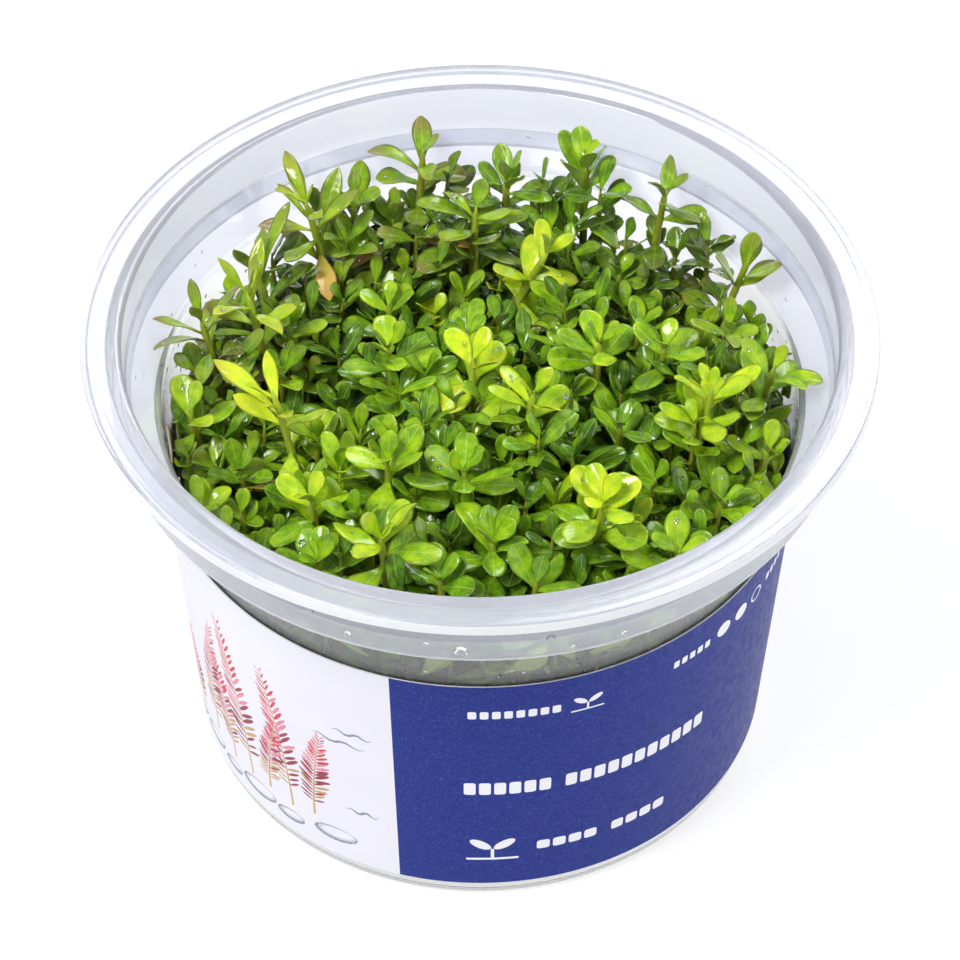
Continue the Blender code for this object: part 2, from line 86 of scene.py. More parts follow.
class Sheet:
    """One material's node tree, built a node at a time on top of its Principled shader."""

    def __init__(self, name: str) -> None:
        """Starts a material.

        Args:
            name: The material's name.
        """
        self.material = bpy.data.materials.new(name)
        self.material.use_nodes = True
        self.tree = self.material.node_tree
        self.shader = self.tree.nodes["Principled BSDF"]

    def set(self, **values: object) -> None:
        """Sets plain values on the shader's own sockets.

        Args:
            **values: Socket names with underscores for spaces, and their values.
        """
        for name, value in values.items():
            self.shader.inputs[name.replace("_", " ")].default_value = value

    def node(self, kind: str, **settings: object) -> bpy.types.Node:
        """Adds a node.

        Args:
            kind: The node's type without the ShaderNode prefix.
            **settings: Attributes of the node.

        Returns:
            The new node.
        """
        made = self.tree.nodes.new("ShaderNode" + kind)
        for name, value in settings.items():
            setattr(made, name, value)
        return made

    def link(self, source: bpy.types.NodeSocket, target: bpy.types.NodeSocket) -> None:
        """Links two sockets."""
        self.tree.links.new(source, target)

    def place(self) -> bpy.types.NodeSocket:
        """The object's own coordinates."""
        return self.node("TexCoord").outputs["Object"]

    def noise(self, scale: float, detail: float = 3.0, roughness: float = 0.5, stretch: Colour = (1.0, 1.0, 1.0)):
        """A noise value on the object's own coordinates.

        Args:
            scale: Features per metre.
            detail: Octaves.
            roughness: How strong the fine octaves are.
            stretch: Scale of the coordinates along X, Y and Z.

        Returns:
            The noise's value socket.
        """
        mapping = self.node("Mapping")
        mapping.inputs["Scale"].default_value = stretch
        self.link(self.place(), mapping.inputs["Vector"])
        texture = self.node("TexNoise")
        texture.inputs["Scale"].default_value = scale
        texture.inputs["Detail"].default_value = detail
        texture.inputs["Roughness"].default_value = roughness
        self.link(mapping.outputs["Vector"], texture.inputs["Vector"])
        return texture.outputs["Fac"]

    def math(self, operation: str, first: object, second: object = 0.5, clamp: bool = False):
        """A math node.

        Args:
            operation: The node's operation.
            first: A socket or a number.
            second: A socket or a number.
            clamp: Whether the result is kept between 0 and 1.

        Returns:
            The result's socket.
        """
        made = self.node("Math", operation=operation, use_clamp=clamp)
        for value, target in zip((first, second), made.inputs):
            if isinstance(value, bpy.types.NodeSocket):
                self.link(value, target)
            else:
                target.default_value = value
        return made.outputs[0]

    def spread(self, value: bpy.types.NodeSocket, low: float, high: float, to_low: float, to_high: float):
        """Maps a value from one range to another, smoothly and clamped.

        Args:
            value: The value's socket.
            low: Where the range starts.
            high: Where it ends.
            to_low: Result at the start.
            to_high: Result at the end.

        Returns:
            The result's socket.
        """
        made = self.node("MapRange", interpolation_type="SMOOTHSTEP")
        self.link(value, made.inputs["Value"])
        for name, number in (("From Min", low), ("From Max", high), ("To Min", to_low), ("To Max", to_high)):
            made.inputs[name].default_value = number
        return made.outputs["Result"]

    def ramp(self, value: bpy.types.NodeSocket, stops: Sequence[tuple[float, Colour]]) -> bpy.types.NodeSocket:
        """A colour that runs through the given stops.

        Args:
            value: What picks the colour, from 0 to 1.
            stops: Positions and colours, in order.

        Returns:
            The colour's socket.
        """
        made = self.node("ValToRGB")
        elements = made.color_ramp.elements
        while len(elements) < len(stops):
            elements.new(0.5)
        for element, (position, colour) in zip(elements, stops):
            element.position = position
            element.color = (*colour, 1.0)
        self.link(value, made.inputs["Fac"])
        return made.outputs["Color"]

    def mix(self, share: object, first: object, second: object, blend: str = "MIX") -> bpy.types.NodeSocket:
        """Mixes two colours.

        Args:
            share: A socket or a number, how much of the second.
            first: A socket or a colour.
            second: A socket or a colour.
            blend: The blend type.

        Returns:
            The mixed colour's socket.
        """
        made = self.node("Mix", data_type="RGBA", blend_type=blend)
        for value, target in zip((share, first, second), (made.inputs[0], made.inputs[6], made.inputs[7])):
            if isinstance(value, bpy.types.NodeSocket):
                self.link(value, target)
            else:
                target.default_value = value if isinstance(value, float) else (*value, 1.0)
        return made.outputs[2]

    def bump(self, height: bpy.types.NodeSocket, strength: float, distance: float) -> None:
        """Drives the shader's normal from a height.

        Args:
            height: The height's socket.
            strength: The bump's strength.
            distance: The height's depth in metres.
        """
        made = self.node("Bump")
        made.inputs["Strength"].default_value = strength
        made.inputs["Distance"].default_value = distance
        self.link(height, made.inputs["Height"])
        self.link(made.outputs["Normal"], self.shader.inputs["Normal"])

    def attribute(self, name: str) -> bpy.types.Node:
        """A node that reads a colour attribute of the mesh."""
        return self.node("Attribute", attribute_name=name)

    def to_base(self, colour: bpy.types.NodeSocket) -> None:
        """Links a colour to the shader's base colour."""
        self.link(colour, self.shader.inputs["Base Color"])

    def to_roughness(self, value: bpy.types.NodeSocket) -> None:
        """Links a value to the shader's roughness."""
        self.link(value, self.shader.inputs["Roughness"])


@dataclass(frozen=True)
class ClearPlastic:
    """Slightly milky moulded polypropylene."""

    name: str
    clarity: float
    colour: Colour = (0.930, 0.950, 1.000)
    index: float = 1.49
    haze: float = 0.22
    gloss: float = 0.5

    def make(self) -> bpy.types.Material:
        """Builds the material."""
        sheet = Sheet(self.name)
        sheet.set(Transmission_Weight=self.clarity, IOR=self.index, Specular_IOR_Level=self.gloss)
        cloud = sheet.noise(30.0, 2.0)
        light = tuple(min(1.0, value * 1.03) for value in self.colour)
        sheet.to_base(sheet.mix(sheet.spread(cloud, 0.3, 0.7, 0.0, 1.0), self.colour, light))
        sheet.to_roughness(sheet.spread(sheet.noise(250.0, 3.0), 0.3, 0.7, self.haze - 0.03, self.haze + 0.03))
        sheet.bump(sheet.noise(90.0, 2.0), 0.02, 0.00001)
        return sheet.material


@dataclass(frozen=True)
class Water:
    """Clean water, for the drops."""

    index: float = 1.333
    clean: Colour = (1.0, 1.0, 1.0)
    grey: Colour = (0.97, 0.98, 1.0)

    def make(self) -> bpy.types.Material:
        """Builds the material."""
        sheet = Sheet("water")
        sheet.set(Transmission_Weight=1.0, IOR=self.index)
        cloud = sheet.spread(sheet.noise(700.0, 2.0), 0.3, 0.7, 0.0, 1.0)
        sheet.to_base(sheet.mix(cloud, self.clean, self.grey))
        sheet.to_roughness(sheet.spread(sheet.noise(1500.0, 2.0), 0.3, 0.7, 0.0, 0.04))
        return sheet.material


@dataclass(frozen=True)
class Gel:
    """Clear nutrient gel, a little cloudy."""

    colour: Colour = (0.80, 0.80, 0.66)
    clarity: float = 0.55

    def make(self) -> bpy.types.Material:
        """Builds the material."""
        sheet = Sheet("nutrient_gel")
        sheet.set(Transmission_Weight=self.clarity, IOR=1.34, Roughness=0.14)
        cloud = sheet.noise(160.0, 4.0, 0.6)
        sheet.to_base(sheet.mix(sheet.spread(cloud, 0.35, 0.7, 0.0, 1.0), self.colour, (0.66, 0.68, 0.48)))
        sheet.bump(sheet.noise(260.0, 2.0), 0.25, 0.0006)
        return sheet.material


@dataclass(frozen=True)
class LabelInk:
    """One printed colour of the label, on coated paper, with the fine grain of the print."""

    name: str
    colour: Colour
    grain: Colour
    grain_share: float = 0.25
    roughness: float = 0.42

    def make(self) -> bpy.types.Material:
        """Builds the material."""
        sheet = Sheet(self.name)
        sheet.set(Specular_IOR_Level=0.14)
        speck = sheet.spread(sheet.noise(3600.0, 2.0, 0.7), 0.52, 0.68, 0.0, self.grain_share)
        tone = sheet.spread(sheet.noise(45.0, 3.0), 0.3, 0.7, 0.0, 0.25)
        base = sheet.mix(tone, self.colour, tuple(value * 0.86 for value in self.colour))
        sheet.to_base(sheet.mix(speck, base, self.grain))
        sheet.to_roughness(sheet.spread(sheet.noise(900.0, 3.0), 0.3, 0.7, self.roughness - 0.06, self.roughness + 0.08))
        sheet.bump(sheet.noise(2200.0, 3.0, 0.6), 0.12, 0.00005)
        return sheet.material


@dataclass(frozen=True)
class LeafSkin:
    """A wet leaf. The mesh says how young it is (a value that is partly painted shade, darker on shoots and pairs deep
    in the canopy), how far it blushes, which face is the underside, and if it is old.
    """

    stops: tuple[tuple[float, Colour], ...] = (
        (0.00, (0.024, 0.085, 0.002)),
        (0.25, (0.075, 0.215, 0.003)),
        (0.50, (0.210, 0.430, 0.004)),
        (0.75, (0.430, 0.650, 0.005)),
        (1.00, (0.720, 0.830, 0.015)),
    )
    blush: Colour = (0.250, 0.165, 0.060)
    underside: Colour = (0.300, 0.340, 0.120)
    old: Colour = (0.640, 0.370, 0.090)
    rib: Colour = (0.480, 0.640, 0.120)

    def make(self) -> bpy.types.Material:
        """Builds the material."""
        sheet = Sheet("leaf_skin")
        sheet.set(Specular_IOR_Level=0.38, Coat_Weight=0.38, Coat_Roughness=0.04, IOR=1.42)
        tint = sheet.node("SeparateColor")
        attribute = sheet.attribute("tint")
        sheet.link(attribute.outputs["Color"], tint.inputs["Color"])
        blade = sheet.node("SeparateXYZ")
        sheet.link(sheet.node("UVMap", uv_map="blade").outputs["UV"], blade.inputs["Vector"])
        off_rib = sheet.math("ABSOLUTE", sheet.math("SUBTRACT", blade.outputs["X"], 0.5))
        mottle = sheet.noise(480.0, 4.0, 0.62)
        age = sheet.math("ADD", tint.outputs["Red"], sheet.spread(mottle, 0.3, 0.7, -0.17, 0.17), clamp=True)
        green = sheet.ramp(age, self.stops)
        veins = self.veins(sheet, blade, off_rib)
        lined = sheet.mix(sheet.math("MULTIPLY", veins, 0.18), green, self.rib)
        ribbed = sheet.mix(sheet.spread(off_rib, 0.0, 0.04, 0.55, 0.0), lined, self.rib)
        margin = sheet.spread(off_rib, 0.22, 0.48, 0.0, 1.0)
        tip = sheet.spread(blade.outputs["Y"], 0.40, 0.95, 0.2, 1.0)
        patch = sheet.spread(sheet.noise(240.0, 3.0), 0.35, 0.65, 0.5, 1.15)
        reach = sheet.math("MAXIMUM", margin, tip)
        blushed = sheet.math("MULTIPLY", sheet.math("MULTIPLY", reach, patch), tint.outputs["Green"], clamp=True)
        top = sheet.mix(blushed, ribbed, self.blush)
        below = sheet.mix(sheet.math("MULTIPLY", tint.outputs["Blue"], 0.55), top, self.underside)
        spent = sheet.spread(sheet.noise(300.0, 3.0), 0.3, 0.7, 0.55, 1.0)
        wilted = sheet.math("MULTIPLY", sheet.math("SUBTRACT", 1.0, attribute.outputs["Alpha"]), spent)
        sheet.to_base(sheet.mix(wilted, below, self.old))
        sheet.to_roughness(sheet.spread(sheet.noise(800.0, 2.0), 0.3, 0.7, 0.08, 0.22))
        swell = sheet.math("MULTIPLY", sheet.noise(420.0, 2.0), 2.6)
        height = sheet.math("ADD", sheet.math("MULTIPLY", veins, 0.35), swell)
        sheet.bump(height, 0.40, 0.00022)
        return sheet.material

    def veins(self, sheet: Sheet, blade: bpy.types.Node, off_rib: bpy.types.NodeSocket) -> bpy.types.NodeSocket:
        """Side veins that leave the midrib at a slant.

        Args:
            sheet: The material being built.
            blade: The blade's split coordinates.
            off_rib: Distance from the midrib as a share of the width.

        Returns:
            A value that is 1 on a vein.
        """
        slant = sheet.math("SUBTRACT", blade.outputs["Y"], sheet.math("MULTIPLY", off_rib, 0.7))
        wave = sheet.math("SINE", sheet.math("MULTIPLY", slant, 52.0))
        return sheet.spread(wave, 0.72, 1.0, 0.0, 1.0)


@dataclass(frozen=True)
class StemSkin:
    """A young stem: yellow-green near the tip, olive and then red-brown lower down."""

    stops: tuple[tuple[float, Colour], ...] = (
        (0.00, (0.110, 0.050, 0.016)),
        (0.35, (0.200, 0.150, 0.025)),
        (0.70, (0.270, 0.300, 0.025)),
        (1.00, (0.400, 0.520, 0.040)),
    )

    def make(self) -> bpy.types.Material:
        """Builds the material."""
        sheet = Sheet("stem_skin")
        sheet.set(Specular_IOR_Level=0.5, Coat_Weight=0.15, Coat_Roughness=0.2)
        tint = sheet.node("SeparateColor")
        sheet.link(sheet.attribute("tint").outputs["Color"], tint.inputs["Color"])
        streak = sheet.noise(900.0, 3.0, 0.6, (1.0, 1.0, 0.15))
        height = sheet.math("ADD", tint.outputs["Red"], sheet.spread(streak, 0.3, 0.7, -0.16, 0.16), clamp=True)
        sheet.to_base(sheet.ramp(height, self.stops))
        sheet.to_roughness(sheet.spread(streak, 0.3, 0.7, 0.28, 0.45))
        sheet.bump(streak, 0.3, 0.0001)
        return sheet.material


@dataclass(frozen=True)
class RootSkin:
    """Fine white root hairs."""

    def make(self) -> bpy.types.Material:
        """Builds the material."""
        sheet = Sheet("root_skin")
        streak = sheet.noise(700.0, 3.0)
        sheet.to_base(sheet.mix(sheet.spread(streak, 0.3, 0.7, 0.0, 1.0), (0.72, 0.72, 0.60), (0.52, 0.50, 0.36)))
        sheet.to_roughness(sheet.spread(streak, 0.3, 0.7, 0.35, 0.55))
        return sheet.material


# Mesh helpers

@dataclass
class Patch:
    """Points, faces and per-point values that are gathered before they become one mesh."""

    points: list[np.ndarray] = field(default_factory=list)
    faces: list[tuple[int, ...]] = field(default_factory=list)
    slots: list[int] = field(default_factory=list)
    tints: list[np.ndarray] = field(default_factory=list)
    uvs: list[np.ndarray] = field(default_factory=list)
    count: int = 0

    def add(self, points: np.ndarray, faces: Iterable[tuple[int, ...]], slot: int, tints: np.ndarray, uvs: np.ndarray):
        """Adds one closed surface.

        Args:
            points: Its points, one row each.
            faces: Its faces, numbered from its own first point.
            slot: The material slot of its faces.
            tints: One colour for each point.
            uvs: One pair of blade coordinates for each point.
        """
        self.points.append(points)
        self.tints.append(tints)
        self.uvs.append(uvs)
        before = len(self.faces)
        self.faces.extend(tuple(corner + self.count for corner in face) for face in faces)
        self.slots.extend([slot] * (len(self.faces) - before))
        self.count += len(points)

    def build(self, name: str, finishes: Sequence[bpy.types.Material]) -> bpy.types.Object:
        """Makes the mesh object, shaded smooth, with its tint and blade coordinates.

        Args:
            name: The object's name.
            finishes: Its materials, in slot order.

        Returns:
            The new object.
        """
        obj = mesh_object(name, np.concatenate(self.points), self.faces, finishes)
        mesh = obj.data
        mesh.polygons.foreach_set("material_index", self.slots)
        tint = mesh.color_attributes.new("tint", "FLOAT_COLOR", "POINT")
        tint.data.foreach_set("color", np.concatenate(self.tints).astype(np.float32).ravel())
        layer = mesh.uv_layers.new(name="blade")
        corners = np.zeros(len(mesh.loops), np.int32)
        mesh.loops.foreach_get("vertex_index", corners)
        layer.data.foreach_set("uv", np.concatenate(self.uvs)[corners].astype(np.float32).ravel())
        return obj


def mesh_object(
    name: str, points: np.ndarray, faces: Sequence[Sequence[int]], finishes: Sequence[bpy.types.Material]
) -> bpy.types.Object:
    """A smooth-shaded mesh object from points and faces.

    Args:
        name: The object's name.
        points: One row for each point.
        faces: Corner numbers of each face.
        finishes: Its materials, in slot order.

    Returns:
        The new object, linked to the scene.
    """
    mesh = bpy.data.meshes.new(name)
    mesh.from_pydata(points.tolist(), [], faces)
    mesh.polygons.foreach_set("use_smooth", [True] * len(mesh.polygons))
    for finish in finishes:
        mesh.materials.append(finish)
    obj = bpy.data.objects.new(name, mesh)
    bpy.context.scene.collection.objects.link(obj)
    return obj


def filleted(corners: Sequence[tuple[float, float, float]], steps: int = 5) -> list[Point2]:
    """A profile whose corners are rounded.

    Args:
        corners: Radius, height and fillet radius of each corner, in order.
        steps: Segments in each fillet.

    Returns:
        The profile's points.
    """
    outline: list[Point2] = []
    last = len(corners) - 1
    for index, (radius, height, fillet) in enumerate(corners):
        corner = Vector((radius, height))
        if fillet == 0.0 or index in (0, last):
            outline.append((radius, height))
            continue
        back = Vector(corners[index - 1][:2]) - corner
        ahead = Vector(corners[index + 1][:2]) - corner
        reach = min(fillet, back.length * 0.48, ahead.length * 0.48)
        start = corner + back.normalized() * reach
        end = corner + ahead.normalized() * reach
        for step in range(steps + 1):
            share = step / steps
            point = start.lerp(corner, share).lerp(corner.lerp(end, share), share)
            outline.append((point.x, point.y))
    return outline


def lathe(name: str, outline: Sequence[Point2], segments: int, finish: bpy.types.Material) -> bpy.types.Object:
    """A closed solid turned about Z. The outline starts and ends on the axis.

    Args:
        name: The object's name.
        outline: Radius and height of each point, in the order top to bottom on the outside.
        segments: Steps round the axis.
        finish: Its material.

    Returns:
        The new object.
    """
    ring = np.array(outline[1:-1])
    angles = np.arange(segments) * (2.0 * math.pi / segments)
    rows = len(ring)
    body = np.empty((segments, rows, 3))
    body[:, :, 0] = ring[None, :, 0] * np.cos(angles)[:, None]
    body[:, :, 1] = ring[None, :, 0] * np.sin(angles)[:, None]
    body[:, :, 2] = ring[None, :, 1]
    poles = np.array([(0.0, 0.0, outline[0][1]), (0.0, 0.0, outline[-1][1])])
    points = np.concatenate([body.reshape(-1, 3), poles])
    first_pole = segments * rows
    faces: list[tuple[int, ...]] = []
    for turn in range(segments):
        here = turn * rows
        there = (turn + 1) % segments * rows
        faces.append((first_pole, here, there))
        faces.extend((here + row, here + row + 1, there + row + 1, there + row) for row in range(rows - 1))
        faces.append((first_pole + 1, there + rows - 1, here + rows - 1))
    return mesh_object(name, points, faces, [finish])


# The cup and its gel

@dataclass
class Cup:
    """The clear culture cup: flange, down-turned lip, skirt, sloped shoulder, tapered wall and foot ring."""

    mouth_radius: float = 45.2 * MM
    skirt_radius: float = 46.8 * MM
    skirt_depth: float = 10.4 * MM
    shoulder_top: float = 5.6 * MM
    shoulder_depth: float = 11.4 * MM
    flange_thickness: float = 0.9 * MM
    lip_drop: float = 1.7 * MM
    foot_radius: float = 37.3 * MM
    wall_slope: float = 0.077
    wall: float = 0.8 * MM
    floor: float = 1.0 * MM
    foot_recess: float = 0.8 * MM
    foot_width: float = 3.0 * MM
    segments: int = 180

    def __post_init__(self) -> None:
        """Reads the height and the flange's radius from the frame."""
        _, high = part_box("cup")
        self.height = high.z
        self.flange_radius = high.x
        self.wall_top = self.height - self.shoulder_depth

    def wall_radius(self, z: float) -> float:
        """Outside radius of the tapered wall at a height."""
        return self.foot_radius + self.wall_slope * z

    def inner_radius(self, z: float) -> float:
        """Inside radius of the cup at a height.

        Args:
            z: Height above the foot.

        Returns:
            The radius of the wall, the shoulder or the mouth there.
        """
        if z <= self.wall_top:
            return self.wall_radius(z) - self.wall
        share = min(1.0, (z - self.wall_top) / (self.shoulder_depth - self.shoulder_top))
        at_wall = self.wall_radius(self.wall_top) - self.wall
        return at_wall * (1.0 - share) + (self.mouth_radius - 0.2 * MM) * share

    def profile(self) -> list[tuple[float, float, float]]:
        """The shell's section: radius, height and fillet of each corner, from the floor's middle and back to it."""
        top = self.height
        floor_top = self.foot_recess + self.floor
        shoulder = top - self.shoulder_top
        skirt = top - self.skirt_depth
        under = top - self.flange_thickness
        lip = top - self.lip_drop
        rim = self.flange_radius
        groove = rim - 1.5 * MM
        wall_in = self.wall_radius(self.wall_top) - self.wall
        return [
            (0.0, floor_top, 0.0),
            (self.wall_radius(floor_top) - self.wall, floor_top, 2.0 * MM),
            (wall_in, self.wall_top, 0.7 * MM),
            (self.mouth_radius - 0.9 * MM, shoulder - 1.2 * MM, 0.5 * MM),
            (self.mouth_radius - 0.1 * MM, shoulder, 0.4 * MM),
            (self.mouth_radius + 0.1 * MM, top, 0.9 * MM),
            (groove - 0.25 * MM, top, 0.1 * MM),
            (groove, top - 0.04 * MM, 0.1 * MM),
            (groove + 0.25 * MM, top, 0.1 * MM),
            (rim, top, 0.4 * MM),
            (rim, lip, 0.2 * MM),
            (rim - 0.8 * MM, lip, 0.2 * MM),
            (rim - 0.8 * MM, under, 0.3 * MM),
            (self.skirt_radius + 0.3 * MM, under, 0.5 * MM),
            (self.skirt_radius, skirt, 0.25 * MM),
            (self.skirt_radius - self.wall, skirt, 0.2 * MM),
            (self.skirt_radius - self.wall, shoulder - 1.6 * MM, 0.4 * MM),
            (self.wall_radius(self.wall_top) + 0.4 * MM, self.wall_top + 0.4 * MM, 0.5 * MM),
            (self.wall_radius(self.wall_top - 1.0 * MM), self.wall_top - 1.0 * MM, 0.5 * MM),
            (self.wall_radius(0.9 * MM), 0.9 * MM, 0.6 * MM),
            (self.foot_radius - 0.7 * MM, 0.0, 0.5 * MM),
            (self.foot_radius - self.foot_width, 0.0, 0.3 * MM),
            (self.foot_radius - self.foot_width - 0.5 * MM, self.foot_recess, 0.3 * MM),
            (0.0, self.foot_recess, 0.0),
        ]

    def zone(self, spot: Vector) -> int:
        """Which of its plastics a place on the shell shows.

        Args:
            spot: The place.

        Returns:
            0 for the wall, 1 for the collar and flange, 2 for the foot, whose grey plastic is painted shade, 3 for the
            lip and skirt edges, whose whiter plastic is a painted highlight.
        """
        out = math.hypot(spot.x, spot.y)
        # The lip and the skirt's lower edge take a whiter, less clear plastic: a painted highlight along these edges.
        on_lip = out > self.flange_radius - 0.25 * MM and spot.z < self.height - 0.15 * MM
        on_skirt_edge = out > self.skirt_radius - 1.0 * MM and abs(spot.z - self.height + self.skirt_depth) < 0.35 * MM
        if on_lip or on_skirt_edge:
            return 3
        if spot.z > self.wall_top + 0.2 * MM:
            return 1
        # The foot band takes a grey, half-clear plastic: painted shade, for the gel that lies in shadow behind it.
        return 2 if spot.z < 3.0 * MM and out > self.wall_radius(spot.z) - 1.2 * MM else 0

    def build(self, finishes: Sequence[bpy.types.Material]) -> bpy.types.Object:
        """Turns the shell and puts it in the cup's place.

        Args:
            finishes: The plastics of the wall, the collar and flange, the foot with its painted shade, and the edges
                with their painted highlight.

        Returns:
            The cup's object.
        """
        obj = lathe("cup_shell", filleted(self.profile()), self.segments, finishes[0])
        for finish in finishes[1:]:
            obj.data.materials.append(finish)
        for face in obj.data.polygons:
            face.material_index = self.zone(face.center)
        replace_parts(obj, "cup")
        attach(obj, "root")
        return obj


@dataclass
class GelBed:
    """The bed of gel, with a wavy top that climbs a little at the wall and round the stems."""

    gap: float = 0.12 * MM
    meniscus: float = 1.1 * MM
    wave: float = 0.35 * MM
    rings: int = 40
    segments: int = 150

    def build(self, cup: Cup, stems: Sequence[Stem], finish: bpy.types.Material) -> bpy.types.Object:
        """Turns the bed and shapes its top.

        Args:
            cup: The cup that it fills.
            stems: The stems that stand in it.
            finish: The gel's material.

        Returns:
            The gel's object.
        """
        low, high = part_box("gel")
        reach = cup.inner_radius(high.z) - self.gap
        across = [(reach * ring / self.rings, high.z, 0.0) for ring in range(self.rings)]
        side = [
            (reach, high.z, 0.0),
            (cup.inner_radius(low.z) - self.gap, low.z + 1.6 * MM, 0.6 * MM),
            (cup.inner_radius(low.z) - self.gap - 1.6 * MM, low.z, 0.6 * MM),
            (0.0, low.z, 0.0),
        ]
        obj = lathe("gel_bed", filleted(across + side), self.segments, finish)
        roots = np.array([(stem.root.x, stem.root.y) for stem in stems])
        for vert in obj.data.vertices:
            if vert.co.z < high.z - 0.01 * MM:
                continue
            spot = np.array((vert.co.x, vert.co.y))
            nearest = float(np.sqrt(((roots - spot) ** 2).sum(axis=1)).min())
            from_wall = reach - math.hypot(*spot)
            ripple = math.sin(vert.co.x * 310.0 + 1.3) * math.cos(vert.co.y * 270.0) * self.wave
            climb = self.meniscus * math.exp(-from_wall / (1.2 * MM))
            vert.co.z += (ripple + 0.5 * self.meniscus * math.exp(-nearest / (1.0 * MM))) * min(1.0, from_wall / MM)
            vert.co.z += climb
        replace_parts(obj, "gel")
        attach(obj, "root")
        return obj


# The label

class Ink(Enum):
    """The printed colours of the label, in slot order."""

    PAPER = LabelInk("label_white", (0.83, 0.82, 0.89), (0.78, 0.78, 0.86), 0.5)
    NAVY = LabelInk("label_navy", (0.009, 0.024, 0.225), (0.06, 0.10, 0.42), 0.55, 0.42)
    WHITE = LabelInk("label_mark", (0.88, 0.88, 0.93), (0.80, 0.80, 0.90), 0.4)
    RED = LabelInk("label_red", (0.66, 0.045, 0.070), (0.80, 0.25, 0.28), 0.6)
    ROSE = LabelInk("label_rose", (0.74, 0.24, 0.33), (0.86, 0.60, 0.66), 0.8)
    WINE = LabelInk("label_wine", (0.30, 0.040, 0.065), (0.55, 0.20, 0.22), 0.6)
    TAN = LabelInk("label_tan", (0.56, 0.34, 0.15), (0.74, 0.60, 0.40), 0.6)
    GREY = LabelInk("label_grey", (0.26, 0.28, 0.34), (0.55, 0.57, 0.63), 0.9)
    MIST = LabelInk("label_mist", (0.60, 0.61, 0.68), (0.78, 0.78, 0.85), 0.9)


@dataclass
class Shape:
    """One printed shape: its ink and its outline on the flat label, in metres along and up."""

    ink: Ink
    outline: list[Point2]


def dash(ink: Ink, left: float, right: float, bottom: float, top: float) -> Shape:
    """A bar with round ends.

    Args:
        ink: Its colour.
        left: Where it starts along the label.
        right: Where it ends.
        bottom: Its lower edge.
        top: Its upper edge.

    Returns:
        The bar.
    """
    radius = min(top - bottom, right - left) / 2.0
    middle = (top + bottom) / 2.0
    outline = []
    for centre, start in ((right - radius, -90.0), (left + radius, 90.0)):
        for step in range(7):
            angle = math.radians(start + 30.0 * step)
            outline.append((centre + radius * math.cos(angle), middle + radius * math.sin(angle)))
    return Shape(ink, outline)


def oval(ink: Ink, centre: Point2, long: float, short: float, turn: float, points: int = 14) -> Shape:
    """An ellipse.

    Args:
        ink: Its colour.
        centre: Its middle on the label.
        long: Half of its long side.
        short: Half of its short side.
        turn: The angle of its long side, in radians.
        points: How many points its outline has.

    Returns:
        The ellipse.
    """
    outline = []
    for step in range(points):
        angle = 2.0 * math.pi * step / points
        x, y = long * math.cos(angle), short * math.sin(angle)
        outline.append(
            (centre[0] + x * math.cos(turn) - y * math.sin(turn), centre[1] + x * math.sin(turn) + y * math.cos(turn))
        )
    return Shape(ink, outline)


def block(ink: Ink, left: float, right: float, bottom: float, tall: float) -> Shape:
    """An upright bar with slightly rounded corners.

    Args:
        ink: Its colour.
        left: Where it starts along the label.
        right: Where it ends.
        bottom: Its lower edge.
        tall: Its height.

    Returns:
        The bar.
    """
    cut = 0.22 * (right - left)
    top = bottom + tall
    outline = []
    for x, y, across, start in (
        (right - cut, bottom + cut, cut, -90.0),
        (right - cut, top - cut, cut, 0.0),
        (left + cut, top - cut, cut, 90.0),
        (left + cut, bottom + cut, cut, 180.0),
    ):
        for step in range(4):
            angle = math.radians(start + 30.0 * step)
            outline.append((x + across * math.cos(angle), y + across * math.sin(angle)))
    return Shape(ink, outline)


def ribbon(ink: Ink, line: Sequence[Point2], widths: Sequence[float]) -> Shape:
    """A stroke along a line.

    Args:
        ink: Its colour.
        line: The line's points.
        widths: Its width at each of them.

    Returns:
        The stroke.
    """
    left: list[Point2] = []
    right: list[Point2] = []
    for index, (x, y) in enumerate(line):
        before = line[max(0, index - 1)]
        after = line[min(len(line) - 1, index + 1)]
        along = Vector((after[0] - before[0], after[1] - before[1])).normalized()
        half = widths[index] / 2.0
        left.append((x - along.y * half, y + along.x * half))
        right.append((x + along.y * half, y - along.x * half))
    return Shape(ink, right + left[::-1])


